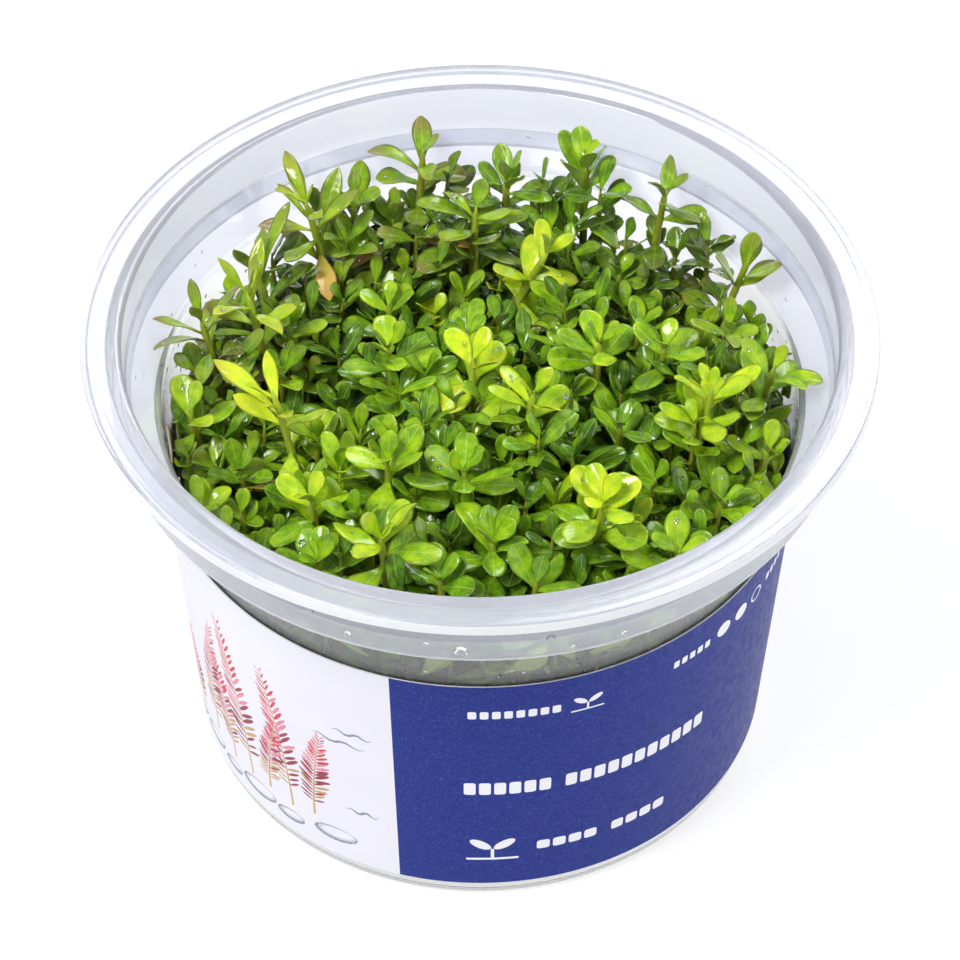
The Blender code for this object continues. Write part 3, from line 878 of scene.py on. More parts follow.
@dataclass
class Label:
    """The paper label. Its print is plain: a navy field with rows of dashes and dots, and a white panel with sprigs.

    The flat label runs along the cup's wall from its seam. Places along it are given as an angle from the front,
    in degrees, with the right-hand side positive.
    """

    panel_from: float = -152.0
    panel_to: float = -16.0
    strip: float = 2.5
    gap: float = 0.15 * MM
    thickness: float = 0.2 * MM

    def __post_init__(self) -> None:
        """Reads the label's height from the frame."""
        low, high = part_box("label")
        self.bottom = low.z
        self.top = high.z

    def along(self, angle: float, cup: Cup) -> float:
        """Distance from the seam along the flat label, for an angle from the front."""
        middle = cup.wall_radius((self.bottom + self.top) / 2.0)
        return math.radians(angle - self.panel_from) * middle

    def marks(self, cup: Cup) -> list[Shape]:
        """Rows of plain blocks, two sprout signs and three dots, on the navy field.

        Args:
            cup: The cup under the label.

        Returns:
            The white shapes.
        """
        rows = (
            (-2.2, 39.6, 1.5, 1.05, (8,)),
            (36.8, 39.8, 1.3, 0.85, (5,)),
            (63.5, 40.6, 1.3, 0.85, (4,)),
            (-3.0, 24.0, 2.5, 1.50, (6, 11)),
            (11.0, 10.8, 1.8, 1.75, (4, 4)),
        )
        shapes = []
        for angle, height, tall, wide, groups in rows:
            left = self.along(angle, cup)
            for group in groups:
                for _ in range(group):
                    shapes.append(block(Ink.WHITE, left, left + wide * MM, (height - tall / 2) * MM, tall * MM))
                    left += (wide + 0.42) * MM
                left += wide * MM
        for angle, filled in ((49.2, True), (54.4, True), (59.6, False)):
            centre = (self.along(angle, cup), 40.2 * MM)
            shapes.append(oval(Ink.WHITE, centre, 1.25 * MM, 1.25 * MM, 0.0, 18))
            if not filled:
                shapes.append(oval(Ink.NAVY, centre, 0.98 * MM, 0.98 * MM, 0.0, 18))
        return shapes + self.sprout(19.4, 38.3, 2.7, cup) + self.sprout(2.4, 8.6, 4.4, cup)

    def sprout(self, angle: float, low: float, tall: float, cup: Cup) -> list[Shape]:
        """A plain sign of a seedling: a stalk, two leaves and the ground.

        Args:
            angle: Where it stands, from the front.
            low: Its foot's height in millimetres.
            tall: Its height in millimetres.
            cup: The cup under the label.

        Returns:
            Its shapes.
        """
        x = self.along(angle, cup)
        unit = tall * MM
        shapes = [dash(Ink.WHITE, x - 0.8 * unit, x + 0.8 * unit, low * MM - 0.05 * unit, low * MM + 0.05 * unit)]
        stalk = [(x, low * MM + 0.05 * unit), (x, low * MM + 0.5 * unit)]
        shapes.append(ribbon(Ink.WHITE, stalk, [0.1 * unit, 0.1 * unit]))
        for side in (-1.0, 1.0):
            centre = (x + side * 0.36 * unit, low * MM + 0.72 * unit)
            shapes.append(oval(Ink.WHITE, centre, 0.38 * unit, 0.17 * unit, side * 0.62))
        return shapes

    def sprig(self, foot: Point2, tall: float, lean: float, size: float, seed: int) -> list[Shape]:
        """A sprig of a loosestrife-like plant: a bowed stalk with pairs of oval leaves, reddest at its tip.

        Args:
            foot: Where the stalk starts on the flat label.
            tall: How tall it is.
            lean: How far its tip leans sideways.
            size: Leaf length near its middle.
            seed: Picks the leaves' small differences.

        Returns:
            The sprig's shapes.
        """
        chance = random.Random(seed)
        count = 25
        line = []
        for step in range(count):
            share = step / (count - 1)
            line.append((foot[0] + lean * share**1.7, foot[1] + tall * share))
        shapes = [ribbon(Ink.TAN, line, [0.34 * MM * (1.0 - 0.6 * step / count) for step in range(count)])]
        for step in range(4, count):
            share = step / (count - 1)
            here = Vector(line[step])
            along = (here - Vector(line[step - 1])).normalized()
            heading = math.atan2(along.y, along.x)
            inks = (Ink.TAN, Ink.WINE) if share < 0.4 else (Ink.ROSE, Ink.WINE) if share < 0.6 else (Ink.ROSE, Ink.RED)
            long = size * (0.40 + 0.6 * math.sin(math.pi * share**0.9)) * chance.uniform(0.85, 1.15)
            for side in (-1.0, 1.0):
                turn = heading + side * math.radians(chance.uniform(44.0, 60.0) * (1.3 - 0.65 * share))
                centre = here + Vector((math.cos(turn), math.sin(turn))) * (long / 2.0 + 0.1 * MM)
                shapes.append(oval(chance.choice(inks), tuple(centre), long / 2.0, long * 0.10, turn, 8))
        return shapes

    def picture(self, cup: Cup) -> list[Shape]:
        """The white panel's picture: red sprigs that lean left over a few round pebbles and ripples.

        Args:
            cup: The cup under the label.

        Returns:
            The picture's shapes.
        """
        sprigs = (
            (-34.0, 10.0, 17.5, 2.0, 2.7),
            (-39.5, 9.0, 25.5, -3.2, 3.1),
            (-45.5, 9.5, 15.0, 2.4, 2.6),
            (-51.0, 9.0, 27.5, -3.6, 3.2),
            (-57.0, 8.5, 19.5, -2.6, 2.8),
            (-64.0, 9.5, 23.5, 2.6, 3.0),
            (-72.0, 8.5, 14.5, -1.8, 2.5),
        )
        shapes: list[Shape] = []
        for number, (angle, low, tall, lean, size) in enumerate(sprigs):
            foot = (self.along(angle, cup), low * MM)
            shapes += self.sprig(foot, tall * MM, lean * MM, size * MM, number + 3)
        pebbles = ((-29.5, 7.6, 3.4, 1.5), (-40.5, 6.4, 2.5, 1.2), (-49.5, 6.9, 3.6, 1.6), (-58.5, 5.9, 2.2, 1.1))
        for angle, height, long, short in (*pebbles, (-66.5, 6.6, 3.0, 1.4), (-77.0, 7.0, 3.8, 1.7)):
            centre = (self.along(angle, cup), height * MM)
            shapes.append(oval(Ink.GREY, centre, long * MM, short * MM, 0.06))
            inner = (centre[0] + 0.16 * MM, centre[1] + 0.2 * MM)
            shapes.append(oval(Ink.MIST, inner, (long - 0.42) * MM, (short - 0.34) * MM, 0.06))
            light = (centre[0] + 0.3 * MM, centre[1] + 0.35 * MM)
            shapes.append(oval(Ink.PAPER, light, (long - 0.9) * MM, (short - 0.6) * MM, 0.1))
        for angle, height, length in ((-24.0, 31.0, 5.5), (-27.0, 28.6, 7.5), (-23.0, 14.5, 4.5), (-82.0, 30.0, 6.5)):
            left = self.along(angle, cup) - length * MM / 2.0
            ripple = [
                (left + length * MM * step / 9.0, (height + 0.35 * math.sin(step * 1.4)) * MM) for step in range(10)
            ]
            widths = [0.06 * MM + 0.4 * MM * math.sin(math.pi * step / 9.0) for step in range(10)]
            shapes.append(ribbon(Ink.GREY, ripple, widths))
        return shapes

    def build(self, cup: Cup) -> bpy.types.Object:
        """Cuts the flat label into its printed regions, wraps it round the cup and gives it a paper back.

        Args:
            cup: The cup under the label.

        Returns:
            The label's object.
        """
        length = self.along(self.panel_from + 360.0, cup)
        edge = self.along(self.panel_to, cup)
        whole = Shape(Ink.PAPER, [(0.0, self.bottom), (length, self.bottom), (length, self.top), (0.0, self.top)])
        field_of_navy = Shape(
            Ink.NAVY, [(edge, self.bottom), (length, self.bottom), (length, self.top), (edge, self.top)]
        )
        shapes = [whole, field_of_navy, *self.picture(cup), *self.marks(cup)]
        flat: list[Vector] = []
        outlines: list[list[int]] = []
        for shape in shapes:
            outlines.append(list(range(len(flat), len(flat) + len(shape.outline))))
            flat += [Vector(point) for point in shape.outline]
        folds: list[tuple[int, int]] = []
        steps = round(360.0 / self.strip)
        for step in range(1, steps):
            along = length * step / steps
            folds.append((len(flat), len(flat) + 1))
            flat += [Vector((along, self.bottom)), Vector((along, self.top))]
        spots, _, faces, _, _, owners = geometry.delaunay_2d_cdt(flat, folds, outlines, 1, 1e-8)
        return self.wrap(cup, length, spots, faces, [shapes[max(owner)].ink for owner in owners])

    def wrap(
        self, cup: Cup, length: float, spots: Sequence[Vector], faces: Sequence[Sequence[int]], inks: Sequence[Ink]
    ) -> bpy.types.Object:
        """Wraps the flat, cut label round the cup, as one closed sheet.

        Args:
            cup: The cup under the label.
            length: The flat label's length.
            spots: The cut label's points.
            faces: Its triangles.
            inks: The ink of each triangle.

        Returns:
            The label's object.
        """
        place: dict[tuple[int, int], int] = {}
        number: list[int] = []
        points: list[tuple[float, float, float]] = []
        for spot in spots:
            key = (round(spot.x % length * 1e7) % round(length * 1e7), round(spot.y * 1e7))
            if key not in place:
                place[key] = len(place)
                angle = math.radians(self.panel_from + 360.0 * spot.x / length - 90.0)
                radius = cup.wall_radius(spot.y) + self.gap + self.thickness
                points.append((radius * math.cos(angle), radius * math.sin(angle), spot.y))
            number.append(place[key])
        outer = [tuple(number[corner] for corner in face) for face in faces]
        outside = np.array(points)
        radii = np.hypot(outside[:, 0], outside[:, 1])
        inside = outside.copy()
        inside[:, :2] *= ((radii - self.thickness) / radii)[:, None]
        count = len(points)
        inner = [tuple(corner + count for corner in reversed(face)) for face in outer]
        used: dict[tuple[int, int], int] = {}
        for face in outer:
            for first, second in zip(face, face[1:] + face[:1]):
                used[(first, second)] = used.get((first, second), 0) + 1
        rim = [(b, a, a + count, b + count) for (a, b) in used if (b, a) not in used]
        order = list(Ink)
        slots = [order.index(ink) for ink in inks] + [0] * (len(inner) + len(rim))
        obj = mesh_object(
            "label_sleeve", np.concatenate([outside, inside]), outer + inner + rim, [ink.value.make() for ink in order]
        )
        obj.data.polygons.foreach_set("material_index", slots)
        self.crisp(obj.data)
        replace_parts(obj, "label")
        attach(obj, "root")
        return obj

    def crisp(self, mesh: bpy.types.Mesh) -> None:
        """Marks the sheet's top and bottom edges sharp, so that its faces shade smoothly up to them."""
        mesh.set_sharp_from_angle(angle=math.radians(40.0))


# The plant

@dataclass(frozen=True)
class Growth:
    """How a kind of shoot grows.

    It says how large and how broad its leaves are, how far the young ones open, how long its internodes are, how
    many of the leaves between the pairs it has, how pointed its leaves are, and how long the youngest ones are.
    """

    size: float
    breadth: float
    spread: float
    stretch: float
    fill: float
    point: float
    young: float = 1.0


class Habit(Enum):
    """The kinds of shoot in the cup."""

    SLIM = Growth(1.12, 0.64, 0.90, 1.35, 0.60, 0.90, 1.35)
    TALL = Growth(1.00, 0.88, 1.00, 1.40, 0.45, 0.64, 1.12)
    BUD = Growth(1.00, 0.94, 0.42, 1.55, 0.25, 0.58)
    ROSETTE = Growth(1.04, 1.04, 1.10, 1.00, 0.60, 0.52)
    LOW = Growth(0.88, 1.02, 1.10, 1.00, 0.70, 0.54)
    SPRAY = Growth(0.94, 0.88, 1.00, 1.05, 0.60, 0.60)


@dataclass(frozen=True)
class Pair:
    """One leaf pair of a shoot.

    It says how many pairs are younger, how far it is below the tip, the leaves' length and width, their angle
    from the stem in degrees, and how far the pair is turned round the stem.
    """

    rank: float
    drop: float
    length: float
    width: float
    pitch: float
    turn: float


def leaf_pair(rank: float, drop: float, length: float, width: float, pitch: float) -> Pair:
    """A leaf pair from sizes in millimetres, square to the pair above it."""
    return Pair(rank, drop * MM, length * MM, width * MM, pitch, 90.0 * rank)


PAIRS = (
    leaf_pair(0, 0.5, 4.2, 2.3, 24.0),
    leaf_pair(1, 1.9, 5.8, 3.1, 46.0),
    leaf_pair(2, 3.9, 6.9, 3.8, 60.0),
    leaf_pair(3, 6.6, 7.2, 4.1, 74.0),
    leaf_pair(4, 10.2, 7.2, 4.0, 80.0),
    leaf_pair(5, 14.4, 6.8, 3.7, 86.0),
    leaf_pair(6, 19.0, 6.4, 3.4, 90.0),
    leaf_pair(7, 24.0, 5.8, 3.1, 94.0),
    leaf_pair(8, 29.4, 5.2, 2.8, 96.0),
)
# Younger leaves that stand between the pairs above, as where a node has more than two leaves.
BETWEEN = (
    leaf_pair(0.5, 1.0, 6.0, 2.8, 30.0),
    leaf_pair(1.5, 2.7, 7.0, 3.5, 40.0),
    leaf_pair(2.5, 5.1, 7.6, 3.9, 50.0),
    leaf_pair(3.5, 8.2, 7.4, 3.9, 60.0),
    leaf_pair(4.5, 12.2, 6.8, 3.7, 68.0),
    leaf_pair(5.5, 16.6, 5.8, 3.2, 72.0),
    leaf_pair(6.5, 21.4, 5.4, 3.0, 76.0),
    leaf_pair(7.5, 26.6, 5.0, 2.8, 80.0),
)
CROWDED = 3

# Every shoot, in the frame's order: tip x and y, how far the tip is below the rim, root x and y, in millimetres,
# the turn of its first leaf pair in degrees, its habit, how bright its young leaves are (partly their own colour,
# partly painted shade where the shoot stands deep or shaded) and how far they blush.
SHOOTS = (
    (-7.5, 37.2, 3.4, -9.5, 33.0, 0.0, Habit.TALL, 0.50, 0.75),
    (-22.9, 28.1, 4.0, -17.5, 29.5, 15.0, Habit.SLIM, 0.76, 0.70),
    (14.0, 35.6, 2.8, 13.5, 31.5, 20.0, Habit.BUD, 0.60, 0.15),
    (24.4, 29.8, 3.4, 20.5, 27.5, -10.0, Habit.TALL, 0.50, 0.50),
    (35.0, 17.5, 4.0, 27.0, 18.5, 5.0, Habit.BUD, 0.70, 0.60),
    (-26.0, -8.8, 2.2, -19.5, -11.5, -8.0, Habit.SLIM, 1.00, 0.35),
    (9.0, 20.7, 6.0, -4.0, 19.5, 20.0, Habit.TALL, 0.90, 0.30),
    (3.5, 33.5, 4.0, 3.0, 32.0, 15.0, Habit.TALL, 0.46, 0.20),
    (29.3, -7.2, 3.0, 25.0, -6.5, 85.0, Habit.TALL, 0.85, 0.12),
    (37.2, -2.7, 4.0, 32.0, -1.5, 50.0, Habit.TALL, 0.66, 0.20),
    (15.2, -25.5, 4.5, 13.0, -22.5, 52.0, Habit.ROSETTE, 0.82, 0.05),
    (-12.2, -31.0, 5.0, -10.5, -26.5, -35.0, Habit.ROSETTE, 0.70, 0.25),
    (-2.0, -17.7, 7.0, -2.0, -16.0, 0.0, Habit.ROSETTE, 0.50, 0.05),
    (6.8, -6.9, 4.0, 3.0, -7.5, 35.0, Habit.TALL, 0.80, 0.10),
    (-0.9, 0.0, 5.0, -1.5, -1.5, 50.0, Habit.ROSETTE, 0.92, 0.08),
    (-30.0, 12.8, 6.0, -25.5, 11.5, -25.0, Habit.SLIM, 0.80, 0.45),
    (-36.1, 11.1, 9.0, -31.0, 9.5, 90.0, Habit.SLIM, 0.62, 0.80),
    (1.6, -28.2, 9.0, 1.5, -24.5, 10.0, Habit.ROSETTE, 0.50, 0.05),
    (-11.6, -16.8, 6.5, -10.5, -15.0, 80.0, Habit.ROSETTE, 0.64, 0.12),
    (15.3, 4.0, 6.0, 14.0, 3.0, 20.0, Habit.ROSETTE, 0.60, 0.05),
    (23.7, 5.1, 8.0, 21.5, 4.5, 65.0, Habit.ROSETTE, 0.60, 0.05),
    (-11.8, 5.1, 8.0, -11.0, 4.0, 10.0, Habit.ROSETTE, 0.58, 0.05),
    (-0.5, 28.5, 5.5, -2.0, 25.0, 60.0, Habit.ROSETTE, 0.58, 0.50),
    (-37.3, -1.6, 13.0, -33.0, -1.5, 40.0, Habit.ROSETTE, 0.68, 0.20),
    (24.7, -28.8, 10.0, 21.0, -25.5, 0.0, Habit.ROSETTE, 0.52, 0.10),
    (-20.0, -29.6, 11.0, -17.5, -26.5, 20.0, Habit.ROSETTE, 0.52, 0.08),
    (-4.9, -33.5, 10.0, -4.0, -30.5, 55.0, Habit.ROSETTE, 0.44, 0.05),
    (6.9, -33.0, 11.0, 6.5, -29.5, 70.0, Habit.ROSETTE, 0.42, 0.05),
    (36.5, -10.5, 11.0, 32.0, -9.5, 80.0, Habit.ROSETTE, 0.66, 0.20),
    (-21.0, -20.0, 10.0, -19.5, -19.0, 65.0, Habit.ROSETTE, 0.72, 0.05),
    (30.4, -18.4, 12.0, 27.0, -16.5, 20.0, Habit.LOW, 0.52, 0.10),
    (-33.7, -7.5, 17.0, -28.5, -7.0, 0.0, Habit.LOW, 0.56, 0.30),
    (17.8, -7.2, 10.0, 16.5, -7.0, 60.0, Habit.LOW, 0.42, 0.05),
    (-30.3, -15.8, 17.0, -26.5, -15.5, 45.0, Habit.LOW, 0.52, 0.10),
    (22.1, -14.5, 12.0, 20.5, -14.0, 30.0, Habit.LOW, 0.52, 0.05),
    (-18.1, 4.2, 18.0, -17.5, 3.5, 35.0, Habit.LOW, 0.28, 0.05),
    (18.5, 25.0, 14.0, 15.5, 22.5, 45.0, Habit.LOW, 0.50, 0.20),
    (-12.0, 18.0, 13.0, -10.5, 16.5, 75.0, Habit.LOW, 0.54, 0.08),
    (-1.5, 11.5, 12.0, -2.0, 10.0, 20.0, Habit.LOW, 0.44, 0.05),
    (21.0, 14.5, 13.0, 18.5, 13.0, 0.0, Habit.LOW, 0.50, 0.08),
    (-29.0, 21.5, 10.0, -25.0, 20.0, 30.0, Habit.SLIM, 0.50, 0.35),
)


# Where the few old, orange leaves are, in millimetres.
OLD_LEAVES = (
    (-38.0, -8.5, 50.0),
    (-30.0, -8.0, 50.0),
    (35.6, -8.5, 50.0),
    (37.0, -10.5, 49.0),
    (-20.5, 22.5, 52.0),
    (-15.5, 28.0, 52.0),
    (-1.5, 30.0, 58.0),
)


@dataclass
class Stem:
    """One stem: a curve from a root to a tip, with the growth, brightness and blush of its leaves."""

    root: Vector
    middle: Vector
    tip: Vector
    turn: float
    growth: Growth
    bright: float
    blush: float
    thickness: float = 0.75 * MM
    owner: int = 0

    def __post_init__(self) -> None:
        """Measures the stem."""
        self.length = (self.tip - self.root).length

    def point(self, share: float) -> Vector:
        """The point at this share of the way from root to tip."""
        lower = self.root.lerp(self.middle, share)
        upper = self.middle.lerp(self.tip, share)
        return lower.lerp(upper, share)

    def along(self, share: float) -> Vector:
        """The stem's direction there."""
        return (self.middle.lerp(self.tip, share) - self.root.lerp(self.middle, share)).normalized()

    def share_below_tip(self, drop: float) -> float:
        """The share of the way at this distance below the tip."""
        return max(0.0, 1.0 - drop / self.length)

    def pair_drop(self, pair: Pair) -> float:
        """How far below the tip this leaf pair grows."""
        return pair.drop * self.growth.stretch * self.growth.size

    def side(self, share: float, azimuth: float) -> Vector:
        """A unit vector square to the stem, facing this azimuth."""
        axis = self.along(share)
        flat = Vector((math.cos(azimuth), math.sin(azimuth), 0.0))
        return (flat - axis * flat.dot(axis)).normalized()

    def ring(self, share: float, radius: float) -> list[Vector]:
        """Four corners round the stem there, whose flat sides face the leaf pairs."""
        corners = []
        for quarter in range(4):
            out = self.side(share, self.turn + math.radians(45.0 + 90.0 * quarter))
            corners.append(self.point(share) + out * radius)
        return corners


@dataclass(frozen=True)
class Whim:
    """One leaf's own small differences: its turn and lean in radians, its length as a share, and its bend."""

    turn: float
    lean: float
    long: float
    bend: float

    @classmethod
    def drawn(cls, chance: random.Random, play: float) -> Whim:
        """Draws one, larger where there is more play."""
        turn = math.radians(chance.gauss(0.0, 9.0)) * play
        lean = math.radians(chance.gauss(0.0, 8.0)) * play
        return cls(turn, lean, 1.0 + chance.uniform(-0.14, 0.14) * play, math.radians(chance.gauss(0.0, 14.0)) * play)


@dataclass
class Blade:
    """One leaf blade: it leaves the stem at a pitch, then arches over by its bend."""

    stem: Stem
    rank: float
    start: Vector
    heading: Vector
    across: Vector
    length: float
    width: float
    bend: float
    wilted: float = 0.0

    thickness: float = 0.45 * MM
    root_share: float = 0.14
    root_width: float = 0.3
    widest: float = 0.62
    tip_width: float = 0.5

    @classmethod
    def grown(cls, stem: Stem, pair: Pair, azimuth: float, scale: float, lift: float, whim: Whim) -> Blade:
        """A blade of one of a stem's leaf pairs.

        Args:
            stem: The stem that it grows from.
            pair: The leaf pair.
            azimuth: The way that it faces round the stem.
            scale: Its size, as a share of the pair's.
            lift: Its pitch, as a share of the pair's.
            whim: Its own small differences.

        Returns:
            The blade.
        """
        growth = stem.growth
        share = stem.share_below_tip(stem.pair_drop(pair))
        axis = stem.along(share)
        out = stem.side(share, azimuth + whim.turn)
        lean = math.radians(pair.pitch * lift * (growth.spread if pair.rank < CROWDED else 1.0)) + whim.lean
        return cls(
            stem,
            pair.rank,
            stem.point(share),
            axis * math.cos(lean) + out * math.sin(lean),
            axis.cross(out).normalized(),
            pair.length * growth.size * scale * whim.long * (growth.young if pair.rank < 2.0 else 1.0),
            pair.width * growth.size * growth.breadth * scale,
            math.radians(12.0 + 6.0 * pair.rank) + whim.bend,
        )

    def frame(self, share: float) -> tuple[Vector, Vector]:
        """The point and the upward direction of the blade's midline at this share of its length."""
        turned_by = self.bend * share
        forward = Matrix.Rotation(turned_by, 3, self.across) @ self.heading
        if turned_by == 0.0:
            return self.start + self.heading * (self.length * share), forward.cross(self.across).normalized()
        chord = Matrix.Rotation(turned_by / 2.0, 3, self.across) @ self.heading
        reach = self.length * share * math.sin(turned_by / 2.0) / (turned_by / 2.0)
        return self.start + chord * reach, forward.cross(self.across).normalized()

    def ring(self, share: float, width: float, thickness: float) -> list[Vector]:
        """The four corners of the blade's section there, round the midline."""
        point, up = self.frame(share)
        half = self.across * (width / 2.0)
        rise = up * (thickness / 2.0)
        return [point - half + rise, point + half + rise, point + half - rise, point - half - rise]

    def hull(self, extra: float) -> tuple[list[Vector], list[tuple[int, ...]]]:
        """Corners and faces of a plain blade, swollen by extra, to test what it would touch."""
        thickness = self.thickness + extra
        corners = self.ring(self.root_share, self.width * self.root_width + extra, thickness)
        corners += self.ring(self.widest, self.width + extra, thickness)
        corners += self.ring(1.0 + extra / self.length, self.width * self.tip_width + extra, thickness)
        faces: list[tuple[int, ...]] = [(0, 1, 2, 3), (11, 10, 9, 8)]
        for start in (0, 4):
            for corner in range(4):
                after = (corner + 1) % 4
                faces.append((start + corner, start + 4 + corner, start + 4 + after, start + after))
        return corners, faces


@dataclass
class Thicket:
    """All the stems and blades, settled so that none touches another."""

    cup: Cup
    clearance: float = 0.3 * MM
    gap: float = 0.3 * MM
    rim_clearance: float = 0.2 * MM
    reach: float = 9.5 * MM
    stem_radius: float = 0.75 * MM
    sizes: tuple[float, ...] = (1.0, 0.86, 0.72, 0.6)
    lifts: tuple[float, ...] = (1.0, 0.68, 0.42)
    turns: tuple[float, ...] = (0.0, 13.0, -13.0, 27.0, -27.0)
    stems: list[Stem] = field(default_factory=list)
    blades: list[Blade] = field(default_factory=list)

    def __post_init__(self) -> None:
        """Reads the gel's level from the frame, and starts with nothing placed."""
        self.gel_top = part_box("gel")[1].z
        self.chance = random.Random(SEED + 1)
        self.trees: list[BVHTree] = []
        self.middles = np.zeros((0, 3))
        self.blade_trees: list[BVHTree] = []

    def stem_tree(self, stem: Stem) -> BVHTree:
        """A search tree over a square tube round a stem, wider than it by the clearance."""
        shares = [step / 10.0 for step in range(11)]
        wide = stem.thickness + self.clearance
        corners = [corner for share in shares for corner in stem.ring(share, wide)]
        faces = []
        for start in range(0, 4 * (len(shares) - 1), 4):
            for corner in range(4):
                after = (corner + 1) % 4
                faces.append((start + corner, start + after, start + 4 + after, start + 4 + corner))
        return BVHTree.FromPolygons(corners, faces)

    def inside_cup(self, corners: Sequence[Vector]) -> bool:
        """Whether a blade's corners, and the points halfway along its edges, keep clear of the cup and the gel."""
        along = [(first + second) / 2.0 for first, second in zip(corners, corners[4:])]
        for point in [*corners, *along]:
            if not self.gel_top + 2.0 * MM < point.z < self.cup.height - self.rim_clearance:
                return False
            if math.hypot(point.x, point.y) > self.cup.inner_radius(point.z) - self.gap:
                return False
        return True

    def settled(
        self, stem: Stem, pair: Pair, azimuth: float, whim: Whim, others: Sequence[BVHTree]
    ) -> Blade | None:
        """The first of a leaf's sizes, lifts and turns that touches nothing.

        Args:
            stem: The stem that it grows from.
            pair: Its leaf pair.
            azimuth: The way that it would face.
            whim: Its own small differences.
            others: The trees of the stems round it.

        Returns:
            The blade, or None if there is no room for it.
        """
        for scale, lift, turn in itertools.product(self.sizes, self.lifts, self.turns):
            blade = Blade.grown(stem, pair, azimuth + math.radians(turn), scale, lift, whim)
            corners, faces = blade.hull(self.clearance)
            if not self.inside_cup(corners):
                continue
            tree = BVHTree.FromPolygons(corners, faces)
            apart = np.linalg.norm(self.middles - np.array(blade.frame(0.5)[0]), axis=1)
            near = [self.blade_trees[index] for index in np.flatnonzero(apart < self.reach)]
            if not any(tree.overlap(other) for other in itertools.chain(near, others)):
                return blade
        return None

    def close(self, first: Stem, second: Stem) -> bool:
        """Whether two stems come near enough for the leaves of one to reach the other."""
        shares = (0.0, 0.25, 0.5, 0.75, 1.0)
        apart = min(
            math.hypot(a.x - b.x, a.y - b.y)
            for a, b in itertools.product(map(first.point, shares), map(second.point, shares))
        )
        return apart < 13.0 * MM

    def plant(self, stems: Sequence[Stem]) -> None:
        """Adds stems, still without leaves."""
        self.stems += stems
        self.trees += [self.stem_tree(stem) for stem in stems]

    def dress(self, stems: Sequence[Stem], pairs: Sequence[Pair], play: float) -> None:
        """Settles the leaves of planted stems, tips first.

        Args:
            stems: The stems.
            pairs: The leaf pairs that each may have.
            play: How much the leaves differ from each other.
        """
        around = [
            [tree for owner, tree in zip(self.stems, self.trees) if owner is not stem and self.close(owner, stem)]
            for stem in stems
        ]
        for pair, (stem, others) in itertools.product(pairs, zip(stems, around)):
            if stem.pair_drop(pair) > stem.length - 1.5 * MM:
                continue
            for side in (0, 1):
                azimuth = stem.turn + math.pi * side + math.radians(pair.turn)
                whim = Whim.drawn(self.chance, play)
                if pair in BETWEEN and self.chance.random() > stem.growth.fill:
                    continue
                blade = self.settled(stem, pair, azimuth, whim, others)
                if blade:
                    self.keep(blade)

    def stick(self, blade: Blade) -> None:
        """Adds a blade that isn't on a stem, unless it would touch another."""
        tree = BVHTree.FromPolygons(*blade.hull(self.clearance))
        if not any(tree.overlap(other) for other in itertools.chain(self.blade_trees, self.trees)):
            self.keep(blade)

    def keep(self, blade: Blade) -> None:
        """Adds a settled blade."""
        self.blades.append(blade)
        self.middles = np.vstack([self.middles, np.array(blade.frame(0.5)[0])])
        self.blade_trees.append(BVHTree.FromPolygons(*blade.hull(0.0)))


@dataclass(frozen=True)
class StuckLeaf:
    """A leaf that water holds flat against the inside of the wall.

    Its place is an angle from the front in degrees and a height in millimetres. Then come its slant in degrees,
    its length and width in millimetres, and how bright it is.
    """

    angle: float
    height: float
    slant: float
    length: float
    width: float
    bright: float

    def blade(self, cup: Cup, owner: int) -> Blade:
        """Lays the leaf on the wall.

        Args:
            cup: The cup.
            owner: The number of the piece that it belongs to.

        Returns:
            The blade.
        """
        turn = math.radians(self.angle - 90.0)
        out = Vector((math.cos(turn), math.sin(turn), 0.0))
        round_wall = Vector((-math.sin(turn), math.cos(turn), 0.0))
        up_wall = (Vector((0.0, 0.0, 1.0)) + out * cup.wall_slope).normalized()
        slant = math.radians(self.slant)
        heading = round_wall * math.sin(slant) + up_wall * math.cos(slant)
        inward = round_wall.cross(up_wall).normalized() * -1.0
        length = self.length * MM
        height = self.height * MM
        middle = out * (cup.inner_radius(height) - 0.5 * MM) + Vector((0.0, 0.0, height))
        start = middle - heading * (length / 2.0)
        stem = Stem(start, middle, middle + up_wall * length, 0.0, Habit.LOW.value, self.bright, 0.1, owner=owner)
        return Blade(stem, 3.0, start, heading, inward.cross(heading).normalized(), length, self.width * MM, 0.0)


STUCK_LEAVES = (
    StuckLeaf(-34.0, 50.5, 60.0, 5.6, 3.0, 0.50),
    StuckLeaf(-24.0, 48.5, -70.0, 6.2, 3.4, 0.50),
    StuckLeaf(-8.0, 48.0, 35.0, 6.0, 3.6, 0.95),
    StuckLeaf(-1.5, 47.5, -75.0, 6.4, 3.8, 1.00),
    StuckLeaf(8.0, 48.2, 65.0, 6.0, 3.4, 0.90),
    StuckLeaf(15.5, 50.0, -20.0, 5.4, 3.2, 0.80),
    StuckLeaf(24.0, 48.5, 80.0, 6.0, 3.4, 0.90),
    StuckLeaf(33.0, 50.5, 25.0, 6.2, 3.8, 1.00),
    StuckLeaf(41.0, 49.0, -60.0, 5.8, 3.4, 0.85),
    StuckLeaf(62.0, 50.0, 40.0, 5.8, 3.2, 0.40),
    StuckLeaf(98.0, 51.0, -30.0, 6.0, 3.4, 0.45),
    StuckLeaf(131.0, 49.5, 70.0, 5.6, 3.2, 0.36),
    StuckLeaf(164.0, 50.5, 15.0, 6.2, 3.4, 0.50),
    StuckLeaf(-158.0, 49.0, -55.0, 5.8, 3.4, 0.42),
    StuckLeaf(-120.0, 50.0, 50.0, 6.0, 3.2, 0.46),
    StuckLeaf(-84.0, 50.5, -25.0, 5.6, 3.2, 0.52),
    StuckLeaf(-58.0, 49.0, 75.0, 6.0, 3.4, 0.38),
)


